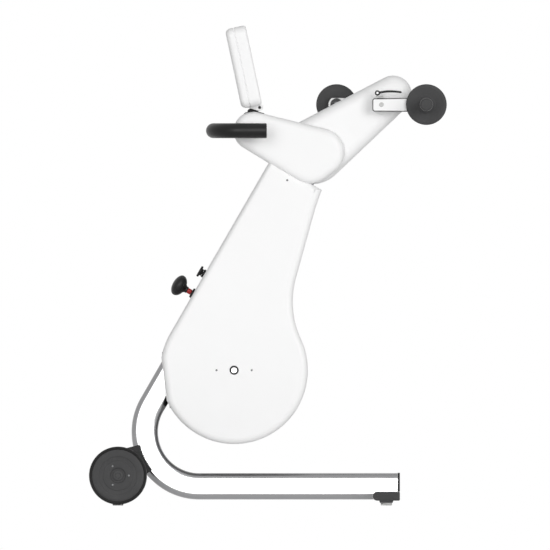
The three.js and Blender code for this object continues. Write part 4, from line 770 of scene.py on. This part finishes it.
def casing_outline():
    """Round drum, tangent neck arc, leaning front edge with a flare at the top, straight back, tube mouth."""
    front = CASING_BACK + TOP_WIDTH
    flare = np.array((front + FLARE_INSET, COLUMN_TOP - FLARE_LENGTH))
    lean = math.radians(FRONT_DEGREES)
    normal = np.array((math.cos(lean), math.sin(lean)))
    up = np.array((-normal[1], normal[0]))
    shaft = np.array(LEG_SHAFT)
    away = flare @ normal + NECK_RADIUS - shaft @ normal
    rise = math.sqrt((DRUM_RADIUS + NECK_RADIUS) ** 2 - away ** 2)
    neck = shaft + away * normal + rise * up
    drum_end = math.degrees(math.atan2(*(neck - shaft)[::-1]))
    t = np.linspace(0, 1, 13)[1:, None]
    bend = flare + (-0.7 * FLARE_INSET, FLARE_LENGTH * 0.52)
    top = np.array((front, COLUMN_TOP))
    curve = (1 - t) ** 2 * flare + 2 * t * (1 - t) * bend + t ** 2 * top

    def mouth(along):
        return 180 + math.degrees(math.asin((LEG_SHAFT[1] - along) / DRUM_RADIUS))

    return from_leg(np.concatenate((
        arc(shaft, DRUM_RADIUS, mouth(MOUTH_LOW) - 360, drum_end, 2),
        arc(neck, NECK_RADIUS, drum_end + 180, 180 + FRONT_DEGREES, 2)[1:],
        curve,
        [(CASING_BACK, COLUMN_TOP)],
        arc(shaft, DRUM_RADIUS, 180, mouth(MOUTH_TOP), 2))))


def across_leg(profile, along, sides=ROUND_SIDES, closed=False):
    """A profile of (radius, across) turned about an axis square to the leg; across grows to the front."""
    x, z = leg_place(0, along)
    return lathe([(r, -a) for r, a in profile], (x, 0, z), OUT, sides, closed)


class TRAINER_OT_casing(Operator):
    """Two white shells of the column with the round drum, their screws and the leg shaft's ends"""

    bl_idname = "trainer.casing"
    bl_label = "Column casing"

    def execute(self, context):
        sizes = context.scene.trainer_sizes
        half = sizes.casing_half
        outline = casing_outline()
        shaft = leg_place(*LEG_SHAFT)
        mouth = from_leg([(-0.044, 0.0), (0.044, -0.04), (0.044, 0.112), (-0.044, 0.152)])
        inlet = placed(rectangle(0.1545, -INLET_HALF_HEIGHT, 0.1945, INLET_HALF_HEIGHT), shaft,
                       INLET_DEGREES - LEAN)
        openings = [slab(mouth, MOUTH_HALF), slab(inlet, INLET_HALF_WIDTH),
                    bore(ARM_PIVOT, FORK_RADIUS, FORK_HALF), bore(shaft, 0.0115, THROUGH)]
        for radius, along in ((0.0095, KNOB_ALONG), (0.0085, PLUNGER_ALONG)):
            openings.append(across_leg([(radius, -0.09), (radius, 0.0)], along))
        face = half - 0.0003
        ring = turned([(0.0078, 0.058, 0), (0.0112, 0.058, 0), (0.0112, face + 0.0014, 0.0006),
                       (0.0078, face + 0.001, 0.0003)], shaft, True)
        places = ((shaft[0] - 0.044, shaft[1], 0.0009), (shaft[0] + 0.044, shaft[1], 0.0009),
                  (0.04825, 0.81325, 0.0008))
        for name, side in SIDES:
            shell = piece(f"casing_{name}", [half_shell(outline, side, half, sizes.casing_rim, CASING_WALL)],
                          "column", "white_plastic", [f"housing_{name}"])
            carve(shell, openings)
            piece(f"shaft_ring_{name}", [sided(ring, side)], "column", "black_plastic",
                  [f"leg_bearing_{name}"])
            screws = []
            for x, z, height in places:
                screws += screw((x, side * half, z), (0, side, 0), CASING_SCREW, height)
            piece(f"casing_screws_{name}", screws, "column", "zinc_steel")
        end = -half - 0.0015
        low = [(0.0, end, 0), (0.0022, end, 0), (0.003, end + 0.0007, 0.0003), (0.0065, end, 0.0004),
               (0.0075, end + 0.001, 0.0004), (0.0075, -BEARING_Y, 0), (0.01, -BEARING_Y, 0.0005)]
        piece("leg_shaft_skin", [turned(both_ends(low), shaft)], "leg_drive", "bright_steel", ["leg_shaft"])
        return {"FINISHED"}


# Clamp knob and pull plunger
KNOB_MIDDLE, KNOB_DOME, KNOB_SKIRT = -0.092, 0.015, 0.019


class TRAINER_OT_clamp(Operator):
    """Clamp knob with its red spindle and bush, and the pull plunger with its sleeve"""

    bl_idname = "trainer.clamp"
    bl_label = "Clamp and plunger"

    def execute(self, context):
        radius = context.scene.trainer_sizes.knob_radius

        def bulge(depth, degrees):
            return [(radius * math.cos(t), KNOB_MIDDLE + depth * math.sin(t)) for t in np.radians(degrees)]

        neck = rounded([(0.0058, -0.0665, 0), (0.008, -0.0665, 0.0006), (0.0084, -0.0715, 0.002),
                        (0.011, -0.0746, 0)], closed=False)
        knob = [(0.0057, -0.086), *neck[:-1], *bulge(KNOB_SKIRT, range(66, -1, -6)),
                *bulge(-KNOB_DOME, range(6, 88, 6)), (0.0012, KNOB_MIDDLE - KNOB_DOME)]
        piece("clamp_knob_skin", [across_leg(knob, KNOB_ALONG)], "clamp_screw", "black_plastic",
              ["clamp_knob"])
        red = rounded([(0.0, -0.0376, 0), (0.0048, -0.0376, 0.0004), (0.0048, -0.0554, 0.0003),
                       (0.0068, -0.056, 0.0006), (0.0068, -0.0662, 0.0008), (0.005, -0.0668, 0.0003),
                       (0.005, -0.085, 0), (0.0, -0.085, 0)], closed=False)
        piece("clamp_spindle_skin", [across_leg(red, KNOB_ALONG, SMALL_SIDES)], "clamp_screw", "red_metal",
              ["clamp_spindle"])
        bush = rounded([(0.0053, -0.041, 0), (0.0053, -0.0553, 0.0005), (0.012, -0.0553, 0.0012),
                        (0.0135, -0.0503, 0.001), (0.009, -0.0503, 0), (0.009, -0.041, 0)])
        piece("knob_bush_skin", [across_leg(bush, KNOB_ALONG, SMALL_SIDES, True)], "column", "black_plastic",
              ["knob_bush"])
        sleeve = rounded([(0.0043, -0.039, 0), (0.0043, -0.0553, 0.0004), (0.0105, -0.0553, 0.001),
                          (0.011, -0.0503, 0.0006), (0.008, -0.0503, 0), (0.008, -0.039, 0)])
        piece("plunger_sleeve_skin", [across_leg(sleeve, PLUNGER_ALONG, SMALL_SIDES, True)], "column",
              "black_coated_metal", ["plunger_sleeve"])
        pin = rounded([(0.0, -0.024, 0), (0.004, -0.024, 0.001), (0.004, -0.0556, 0.0002),
                       (0.009, -0.0556, 0.001), (0.0086, -0.0598, 0.002), (0.0145, -0.0604, 0.0012),
                       (0.0145, -0.066, 0.0022), (0.0, -0.066, 0)], closed=False)
        piece("plunger_pin_skin", [across_leg(pin, PLUNGER_ALONG)], "plunger", "black_coated_metal",
              ["plunger_pin"])
        return {"FINISHED"}


# Head
HEAD_BACK = (-0.03725, 0.93625)
HEAD_CIRCLES = [(*HEAD_BACK, 0.04825), (0.10475, 0.8695, 0.065), (0.131, 0.883, 0.06)]
HEAD_WALL, COLUMN_GAP = 0.003, 0.0005
HINGE_LOW = (-0.046, 0.986)


def fork_outline(grow=0.0):
    """The arm's slot: round under the pivot, open upwards at a slant and to the front."""
    up = math.radians(FORK_DEGREES + LEAN)
    pivot = into_leg(ARM_PIVOT)
    start = arc(pivot, FORK_RADIUS + grow, math.degrees(up) + 90, math.degrees(up) + 210)
    first = start[0] + FORK_REACH * np.array((math.cos(up), math.sin(up)))
    last = (pivot[0] + FORK_REACH, start[-1][1])
    far = (pivot[0] + FORK_REACH, pivot[1] + FORK_REACH * 1.2)
    return from_leg(np.vstack(([first], start, [last], [far])))


class TRAINER_OT_head(Operator):
    """Two white shells of the head, open for the arm, the column, the display hinge and the bracket"""

    bl_idname = "trainer.head"
    bl_label = "Head"

    def execute(self, context):
        sizes = context.scene.trainer_sizes
        outline = hull(HEAD_CIRCLES)
        column = offset(tidy_loop(casing_outline()), -COLUMN_GAP)
        hinge = hull([(*HINGE_LOW, 0.0055), (*DISPLAY_PIN, 0.0095)])
        openings = [
            slab(fork_outline(), FORK_HALF), slab(column, sizes.casing_half + COLUMN_GAP, sizes.casing_rim),
            slab(rectangle(-0.0478, 0.9, -0.0267, 1.0), 0.0205), slab(hinge, 0.0455),
            lathe([(0.0145, -0.14), (0.0145, -0.03)], (0, 0, BAR_Z), (1, 0, 0))]
        for name, side in SIDES:
            hollow = linked("hollow", [half_block(outline, side, sizes.head_half - HEAD_WALL,
                                                  sizes.head_rim - HEAD_WALL, HEAD_WALL)])
            carve(hollow, [slab(fork_outline(HEAD_WALL), FORK_HALF + HEAD_WALL)])
            shell = piece(f"head_{name}", [half_block(outline, side, sizes.head_half, sizes.head_rim)],
                          "column", "white_plastic", [f"head_shell_{name}"])
            carve(shell, [shell_of(hollow), *openings])
        return {"FINISHED"}


# Arm
ARM_LENGTH, ARM_END, ARM_TIP, ARM_WALL = 0.2463, 0.081, 0.047, 0.003


class TRAINER_OT_arm(Operator):
    """Two white shells of the arm and the bearing tubes of its shaft"""

    bl_idname = "trainer.arm"
    bl_label = "Arm"

    def execute(self, context):
        sizes = context.scene.trainer_sizes
        outline = placed(hull([(0, 0, ARM_END), (ARM_LENGTH, 0, ARM_TIP)]), ARM_PIVOT, ARM_DEGREES)
        bearing = turned([(0.0083, 0.038, 0), (0.02, 0.038, 0), (0.02, 0.0523, 0), (0.025, 0.0523, 0.0005),
                          (0.025, 0.0573, 0.0015), (0.02, 0.0583, 0.001), (0.02, 0.085, 0.001),
                          (0.0083, 0.085, 0)], CRANK_SHAFT, True, ROUND_SIDES)
        for name, side in SIDES:
            shell = piece(f"arm_{name}", [half_shell(outline, side, sizes.arm_half, sizes.arm_rim, ARM_WALL)],
                          "arm", "white_plastic", [f"arm_shell_{name}"])
            carve(shell, [bore(ARM_PIVOT, 0.0125, THROUGH), bore(CRANK_SHAFT, 0.0205, THROUGH)])
            piece(f"arm_bearing_skin_{name}", [sided(bearing, side)], "arm", "white_plastic",
                  [f"arm_bearing_{name}"])
        return {"FINISHED"}


# Cranks, levers and grips
CRANK_LENGTH, CRANK_HALF_HEIGHT, CRANK_TAIL = 0.11225, 0.0175, 0.02275
CRANK_INNER, CRANK_OUTER, CRANK_RIM = 0.088, 0.102, 0.003
HUB_RADIUS, HUB_DEGREES = 0.0225, 55
LEVER_PIN, LEVER_SEAT = (-0.01, 0.029), 0.0219
LEVER_LENGTH, LEVER_HALF = 0.058, 0.003


def crank_piece(name, side, shells, body, slot, stands_for=()):
    """A piece from shells made beside the arm shaft at +Y.

    The left crank points to the user, the right one away.
    """
    turn = np.array((1, -1, 1)) if side < 0 else np.array((-1, 1, -1))
    shift = np.array((CRANK_SHAFT[0], 0, CRANK_SHAFT[1]))
    return piece(name, [outward(points * turn + shift, faces) for points, faces in shells], body, slot,
                 stands_for)


def lever_outline():
    """A handle with a round tip: it tapers while its middle line rises and bows by half a sine wave."""
    u = np.linspace(0, 1, 25)
    x = LEVER_PIN[0] + LEVER_LENGTH * u
    z = LEVER_PIN[1] + 0.002 * u + 0.003 * np.sin(np.pi * u)
    half = LEVER_HALF * (1 - 0.15 * u)
    tip = arc((x[-1], z[-1]), half[-1], -90, 90, 20)
    lower = np.column_stack((x, z - half))
    upper = np.column_stack((x, z + half))
    return np.concatenate((lower[:-1], tip, upper[:-1][::-1]))


class TRAINER_OT_cranks(Operator):
    """Two cranks with their shaft bolts, lever bases and cam levers"""

    bl_idname = "trainer.cranks"
    bl_label = "Cranks"

    def execute(self, context):
        h, reach = CRANK_HALF_HEIGHT, CRANK_LENGTH
        middle, half = (CRANK_INNER + CRANK_OUTER) / 2, (CRANK_OUTER - CRANK_INNER) / 2
        tail = rounded([(-CRANK_TAIL, h, 0.006), (-CRANK_TAIL, -h, 0.006), (reach, -h, 0)])
        hub = arc((reach, 0), HUB_RADIUS, -HUB_DEGREES, HUB_DEGREES, 4)
        bar = prism(np.vstack((tail[:-1], hub, [(reach - 0.006, h)])), CRANK_INNER, CRANK_OUTER, CRANK_RIM)
        pad = prism(rounded([(-0.015, h - 0.0005, 0), (0.006, h - 0.0005, 0), (0.005, LEVER_SEAT, 0.001),
                             (-0.014, LEVER_SEAT, 0.001)]), CRANK_INNER + 0.002, CRANK_OUTER - 0.002, 0.001)
        bolt = screw((0, CRANK_OUTER - 0.0002, 0), (0, 1, 0), 0.0062, 0.0016)
        cam = turned([(0.0, 0.0908, 0), (0.0068, 0.0908, 0.0008), (0.0068, 0.0992, 0.0008), (0.0, 0.0992, 0)],
                     LEVER_PIN, step=CORNER_STEP)
        handle = prism(lever_outline(), 0.0915, 0.0985, 0.0008)
        dot = turned([(0.0028, 0.09, 0), (0.0028, 0.0996, 0)], LEVER_PIN)
        shaft = turned(both_ends([(0.0, -0.1, 0), (0.008, -0.1, 0.0008)]), CRANK_SHAFT, step=CORNER_STEP)
        piece("arm_shaft_skin", [shaft], "arm_crank", "bright_steel", ["arm_shaft"])
        for name, side in SIDES:
            crank = crank_piece(f"crank_bar_{name}", side, [bar], "arm_crank", "white_metal",
                                [f"crank_{name}"])
            # Mask of the painted shade on the crank's rounded edges
            painted_shade_share(crank, middle, half)
            crank_piece(f"crank_bolt_{name}", side, bolt, "arm_crank", "grey_pad")
            crank_piece(f"lever_base_{name}", side, [pad], "arm_crank", "grey_pad")
            crank_piece(f"cam_lever_{name}", side, [cam, handle], f"lever_{name}", "black_plastic",
                        [f"crank_lever_{name}"])
            crank_piece(f"cam_pin_{name}", side, [dot], f"lever_{name}", "white_metal")
        return {"FINISHED"}


class TRAINER_OT_grips(Operator):
    """Two hand grips with their guard discs, and the pins that they spin on"""

    bl_idname = "trainer.grips"
    bl_label = "Grips"

    def execute(self, context):
        radius = context.scene.trainer_sizes.guard_radius
        inner, face, end = 0.106, 0.115, 0.232
        place = (CRANK_LENGTH, 0)
        grip = turned([(0.0063, inner, 0), (0.02, inner, 0.001), (0.022, inner + 0.0016, 0.001),
                       (radius - 0.006, inner + 0.0016, 0.002), (radius, inner + 0.0008, 0.002),
                       (radius, face - 0.001, 0.0022), (radius - 0.007, face, 0.003),
                       (0.024, face - 0.0014, 0.004), (0.0156, face + 0.002, 0.003),
                       (0.017, face + 0.04, 0.06), (0.017, face + 0.077, 0.06),
                       (0.0156, end - 0.006, 0.004), (0.0146, end, 0.004), (0.0, end, 0)],
                      place, sides=ROUND_SIDES, step=5)
        pin = turned([(0.0, 0.0843, 0), (0.015, 0.0843, 0.0008), (0.0158, 0.0877, 0.0005), (0.006, 0.0877, 0),
                      (0.006, 0.1023, 0), (0.01, 0.1023, 0.0003), (0.01, 0.1057, 0.0003), (0.006, 0.1057, 0),
                      (0.006, 0.215, 0), (0.0, 0.215, 0)], place)
        head = screw((CRANK_LENGTH, 0.0844, 0), (0, -1, 0), 0.0075, 0.0012)
        for name, side in SIDES:
            crank_piece(f"hand_grip_{name}", side, [grip], f"grip_{name}", "dark_plastic", [f"grip_{name}"])
            crank_piece(f"grip_pin_skin_{name}", side, [pin], "arm_crank", "dark_coated_metal",
                        [f"grip_pin_{name}"])
            crank_piece(f"grip_screw_{name}", side, head, "arm_crank", "zinc_steel")
        return {"FINISHED"}


# Display
DISPLAY_HALF, DISPLAY_LOW, DISPLAY_HIGH, DISPLAY_CORNER = 0.14, 0.006, 0.209, 0.02
DISPLAY_BACK, DISPLAY_FRONT, DISPLAY_SEAM = -0.0445, 0.008, -0.022
DISPLAY_WALL, BACK_RIM, FRONT_RIM = 0.003, 0.013, 0.007
POCKET_HALF, POCKET_TOP = 0.0457, 0.0118
WINDOW_HALF, WINDOW_LOW, WINDOW_HIGH, PANE_LAP = 0.123, 0.027, 0.19, 0.004
SADDLE_TOP = 0.0013


def display_placed(shell):
    """From (across, depth, height) at the hinge pin to the leaning display."""
    c, s = math.cos(math.radians(DISPLAY_LEAN)), math.sin(math.radians(DISPLAY_LEAN))
    return based(shell, (DISPLAY_PIN[0], 0, DISPLAY_PIN[1]), (0, 1, 0), (c, 0, s), (-s, 0, c))


def display_case(edge, rim):
    """Half of the display's case: a rounded outer skin to the seam and an inner skin back again."""
    loop = tidy_loop(rectangle(-DISPLAY_HALF, DISPLAY_LOW, DISPLAY_HALF, DISPLAY_HIGH, DISPLAY_CORNER,
                               step=4))
    side = math.copysign(1, edge - DISPLAY_SEAM)
    seam = [ring_at(loop, DISPLAY_SEAM + side * 0.0014), ring_at(loop, DISPLAY_SEAM + side * SEAM, 0.0016),
            ring_at(loop, DISPLAY_SEAM + side * SEAM, DISPLAY_WALL)]
    outer = rim_rings(loop, edge, DISPLAY_SEAM, rim)
    inner = rim_rings(loop, edge - side * DISPLAY_WALL, DISPLAY_SEAM, rim - DISPLAY_WALL, DISPLAY_WALL)
    return display_placed(loft(outer + seam + inner[::-1]))


def hinge_saddle():
    """A thin strip on the head's back end under the display: the head's outline grown by two offsets."""
    x = np.linspace(-0.06, -0.009, 24)
    rises = []
    for grow in (SADDLE_TOP, SEAM):
        top = hull(HEAD_CIRCLES, grow)
        top = top[top[:, 1] > HEAD_BACK[1]]
        order = np.argsort(top[:, 0])
        rises.append(np.interp(x, top[order, 0], top[order, 1]))
    return np.vstack((np.column_stack((x, rises[0]))[::-1], np.column_stack((x, rises[1]))))


def display_block(half, depths, heights):
    """A plain block in the display's own axes, to cut with or to close a pocket."""
    corners = rectangle(depths[0], heights[0], depths[1], heights[1])
    rings = [np.column_stack((np.full(4, across), corners)) for across in (-half, half)]
    return display_placed(loft(rings))


class TRAINER_OT_display(Operator):
    """Display: back shell with hinge lugs, front bezel, cover glass and the hinge"""

    bl_idname = "trainer.display"
    bl_label = "Display"

    def execute(self, context):
        pocket = display_block(POCKET_HALF, (-0.06, 0.02), (-0.02, POCKET_TOP))
        back = piece("display_back_skin", [display_case(DISPLAY_BACK, BACK_RIM)], "display", "white_plastic",
                     ["display_back"])
        carve(back, [pocket])
        lug = prism(hull([(0, 0, 0.009), (DISPLAY_SEAM - 0.012, DISPLAY_LOW + 0.009, 0.006)]),
                    0.0453, 0.0593, 0.0012)
        roof = (POCKET_TOP, POCKET_TOP + DISPLAY_WALL)
        shells = [display_block(POCKET_HALF + 0.0005, (-0.0425, 0.006), roof)]
        for _, side in SIDES:
            points, faces = sided(lug, side)
            shells.append(display_placed((points[:, [1, 0, 2]], faces)))
        piece("display_lugs", shells, "display", "white_plastic")
        front = piece("display_front_skin", [display_case(DISPLAY_FRONT, FRONT_RIM)], "display",
                      "white_plastic", ["display_front"])
        window = rectangle(-WINDOW_HALF, WINDOW_LOW, WINDOW_HALF, WINDOW_HIGH, 0.004)
        carve(front, [pocket, display_placed(prism(window, 0.0, 0.02))])
        pane = rectangle(-WINDOW_HALF - PANE_LAP, WINDOW_LOW - PANE_LAP, WINDOW_HALF + PANE_LAP,
                         WINDOW_HIGH + PANE_LAP, 0.005)
        piece("display_glass", [display_placed(prism(pane, 0.0017, 0.0047, 0.0006))], "display",
              "screen_glass", ["display_screen"])
        barrel = slab(hull([(*HINGE_LOW, 0.005), (*DISPLAY_PIN, 0.009)]), 0.045, 0.0012)
        stem = slab(rectangle(-0.04725, 0.9466, -0.02725, 0.988), 0.02, 0.0012)
        pin = turned(both_ends([(0.0, -0.0605, 0), (0.0038, -0.0605, 0.001)]), DISPLAY_PIN, step=CORNER_STEP)
        piece("display_hinge_skin", [barrel, stem, pin, slab(hinge_saddle(), 0.058, 0.0005)], "column",
              "black_plastic", ["display_hinge"])
        return {"FINISHED"}


# Handlebar
BAR_Z, BAR_END, BAR_REAR, BAR_HALF_WIDTH, BAR_BEND = 0.937, -0.0028, -0.136, 0.151, 0.07
BAR_BEND_STEPS, BAR_SIDES = 25, 48
BAR_TUBE, FOAM_BORE, FOAM_LIP = 0.014, 0.0143, 0.003


def handlebar_path():
    """A U seen from above, with tangents: straight, a quarter bend, across, a quarter bend, straight."""
    angle = np.linspace(0, np.pi / 2, BAR_BEND_STEPS)
    centre = BAR_REAR + BAR_BEND
    side_y = BAR_HALF_WIDTH - BAR_BEND
    left = np.column_stack((centre - BAR_BEND * np.sin(angle), -side_y - BAR_BEND * np.cos(angle),
                            np.full(BAR_BEND_STEPS, BAR_Z)))
    left_run = np.column_stack((-np.cos(angle), np.sin(angle), np.zeros(BAR_BEND_STEPS)))
    right = left[::-1] * (1, -1, 1)
    right_run = left_run[::-1] * (-1, 1, 1)
    path = np.vstack(([(BAR_END, -BAR_HALF_WIDTH, BAR_Z)], left, right, [(BAR_END, BAR_HALF_WIDTH, BAR_Z)]))
    return path, np.vstack(([(-1, 0, 0)], left_run, right_run, [(1, 0, 0)]))


class TRAINER_OT_handlebar(Operator):
    """Handlebar: a steel tube in a foam sleeve, on its bracket"""

    bl_idname = "trainer.handlebar"
    bl_label = "Handlebar"

    def execute(self, context):
        radius = context.scene.trainer_sizes.bar_radius
        path, run = handlebar_path()
        angle = np.linspace(0, 2 * np.pi, BAR_SIDES, endpoint=False)
        unit = np.column_stack((np.cos(angle), np.sin(angle)))
        across = np.cross(UP, run)
        across /= np.linalg.norm(across, axis=1)[:, None]

        def ring(i, r, inset=0.0):
            shift = run[i] * (inset if i == 0 else -inset)
            return path[i] + shift + unit[:, :1] * r * across[i] + unit[:, 1:] * r * np.array(UP)

        def lip(i):
            return [ring(i, radius - FOAM_LIP * (1 - math.sin(t)), FOAM_LIP * (1 - math.cos(t)))
                    for t in np.linspace(0, np.pi / 2, 6)]

        between = range(1, len(path) - 1)
        skin = lip(0) + [ring(i, radius) for i in between] + lip(-1)[::-1]
        bored = [ring(i, FOAM_BORE) for i in range(len(path))][::-1]
        piece("handlebar_foam", [loft(skin + bored, closed=True)], "column", "grip_foam",
              ["handlebar_sleeve"])
        rings = [ring(0, BAR_TUBE - 0.001), ring(0, BAR_TUBE, 0.001), *[ring(i, BAR_TUBE) for i in between],
                 ring(-1, BAR_TUBE, 0.001), ring(-1, BAR_TUBE - 0.001)]
        piece("handlebar_tube", [loft(rings)], "column", "zinc_steel", ["handlebar"])
        bracket = lathe([(BAR_TUBE, BAR_REAR), (BAR_TUBE, -0.0475)], (0, 0, BAR_Z), (1, 0, 0))
        bracket = piece("handlebar_bracket_skin", [bracket], "column", "black_coated_metal",
                        ["handlebar_bracket"])
        carve(bracket, [bore((BAR_REAR, BAR_Z), radius + SEAM, 0.05)])
        return {"FINISHED"}


# Inner works, which keep the CAD's own solids
INNER_NODES = ("chassis", "lower_guide", "upper_guide", "leg_belt", "leg_motor", "power_unit", "mains_inlet",
               "pivot_shaft", "leg_pulley", "leg_motor_pulley", "clamp_shoe", "arm_frame", "arm_motor")


class TRAINER_OT_inner(Operator):
    """Materials of the CAD nodes that stay: the chassis, guides, drives and power unit"""

    bl_idname = "trainer.inner"
    bl_label = "Inner works"

    def execute(self, context):
        for row in frame["record"]["subparts"]:
            if row["node"] in INNER_NODES:
                mesh = frame["nodes"][row["node"]].data
                mesh.materials.clear()
                mesh.materials.append(material(row["material_slot"]))
        return {"FINISHED"}


# Stage
PICTURE_CENTRE, PICTURE_WIDTH = (0.01775, 0.57625), 1.375
CAMERA_AWAY, CAMERA_REACH = 5, 20
FLOOR_HALF, FLOOR_TONE, FLOOR_GLOW = 6, 0.88, 0.58
WORLD_LIGHT, WORLD_SEEN = 0.22, 1.0
WHITE = (1, 1, 1, 1)
# Name, turn in degrees, strength and spread in degrees
LAMPS = (("key_lamp", (80, 0, 24), 1.45, 30), ("fill_lamp", (81, 0, -14), 0.95, 30),
         ("back_lamp", (80, 0, 182), 2.1, 18), ("top_lamp", (0, 0, 0), 0.1, 90))


class TRAINER_OT_stage(Operator):
    """Pale floor, soft lamps, a plain world and the camera at the photograph's angle"""

    bl_idname = "trainer.stage"
    bl_label = "Stage"

    def execute(self, context):
        scene = context.scene
        mesh = bpy.data.meshes.new("floor")
        corners = [(x * FLOOR_HALF, y * FLOOR_HALF, 0) for x, y in ((-1, -1), (1, -1), (1, 1), (-1, 1))]
        mesh.from_pydata(corners, [], [(0, 1, 2, 3)])
        floor = bpy.data.objects.new("floor", mesh)
        scene.collection.objects.link(floor)
        mesh.materials.append(floor_material())
        for name, turn, strength, spread in LAMPS:
            lamp = bpy.data.lights.new(name, "SUN")
            lamp.energy = strength
            lamp.angle = math.radians(spread)
            obj = bpy.data.objects.new(name, lamp)
            obj.rotation_euler = [math.radians(a) for a in turn]
            # Grazing highlights of the back lamp would eat into the outlines.
            obj.visible_glossy = name != "back_lamp"
            scene.collection.objects.link(obj)
        plain_world(scene)
        camera = bpy.data.cameras.new("camera")
        camera.type = "ORTHO"
        camera.ortho_scale = PICTURE_WIDTH
        camera.clip_end = CAMERA_REACH
        view = bpy.data.objects.new("camera", camera)
        view.location = (PICTURE_CENTRE[0], -CAMERA_AWAY, PICTURE_CENTRE[1])
        view.rotation_euler = (math.radians(90), 0, 0)
        scene.collection.objects.link(view)
        scene.camera = view
        scene.view_settings.view_transform = "Standard"
        return {"FINISHED"}


def floor_material():
    """Pale floor: diffuse, so it keeps the shadow, with a glow that lifts it to white where it is seen."""
    made, tree, shader = new_material("floor_paper")
    glow = new_node(tree, "Math", {0: seen_directly(tree), 1: FLOOR_GLOW}, operation="MULTIPLY")
    feed(tree, shader, {"Base Color": (FLOOR_TONE, FLOOR_TONE, FLOOR_TONE, 1), "Roughness": 0.9,
                        "Emission Color": WHITE, "Emission Strength": glow.outputs[0]})
    return made


def seen_directly(tree):
    """1 for camera rays, reflections and rays through glass, else 0."""
    path = new_node(tree, "LightPath").outputs
    value = path["Is Camera Ray"]
    for ray in ("Is Glossy Ray", "Is Transmission Ray"):
        value = new_node(tree, "Math", {0: value, 1: path[ray]}, operation="MAXIMUM").outputs[0]
    return value


def plain_world(scene):
    """White to the camera, to reflections and through glass; a softer level for the light on the object."""
    world = bpy.data.worlds.new("plain_world")
    scene.world = world
    world.use_nodes = True
    tree = world.node_tree
    inputs = {"Value": seen_directly(tree), "To Min": WORLD_LIGHT, "To Max": WORLD_SEEN}
    level = new_node(tree, "MapRange", inputs)
    feed(tree, tree.nodes["Background"], {"Color": WHITE, "Strength": level.outputs["Result"]})


class TRAINER_PT_panel(Panel):
    """Sizes, colours and build steps of the trainer"""

    bl_idname = "TRAINER_PT_panel"
    bl_label = "Trainer"
    bl_space_type = "VIEW_3D"
    bl_region_type = "UI"
    bl_category = "Trainer"

    def draw(self, context):
        for group in (context.scene.trainer_sizes, context.scene.trainer_colours):
            column = self.layout.column(align=True)
            for name in group.__annotations__:
                column.prop(group, name)
        for step in STEPS:
            self.layout.operator(step.bl_idname)


STEPS = (TRAINER_OT_base, TRAINER_OT_rear, TRAINER_OT_casing, TRAINER_OT_clamp, TRAINER_OT_head,
         TRAINER_OT_arm, TRAINER_OT_cranks, TRAINER_OT_grips, TRAINER_OT_display, TRAINER_OT_handlebar,
         TRAINER_OT_inner, TRAINER_OT_stage)
CLASSES = (TrainerSizes, TrainerColours, *STEPS, TRAINER_PT_panel)


def register():
    for cls in CLASSES:
        bpy.utils.register_class(cls)
    bpy.types.Scene.trainer_sizes = PointerProperty(type=TrainerSizes)
    bpy.types.Scene.trainer_colours = PointerProperty(type=TrainerColours)


def unregister():
    del bpy.types.Scene.trainer_colours
    del bpy.types.Scene.trainer_sizes
    for cls in reversed(CLASSES):
        bpy.utils.unregister_class(cls)


def main():
    """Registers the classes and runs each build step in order."""
    register()
    for step in STEPS:
        group, name = step.bl_idname.split(".")
        getattr(getattr(bpy.ops, group), name)()


if __name__ == "__main__":
    main()
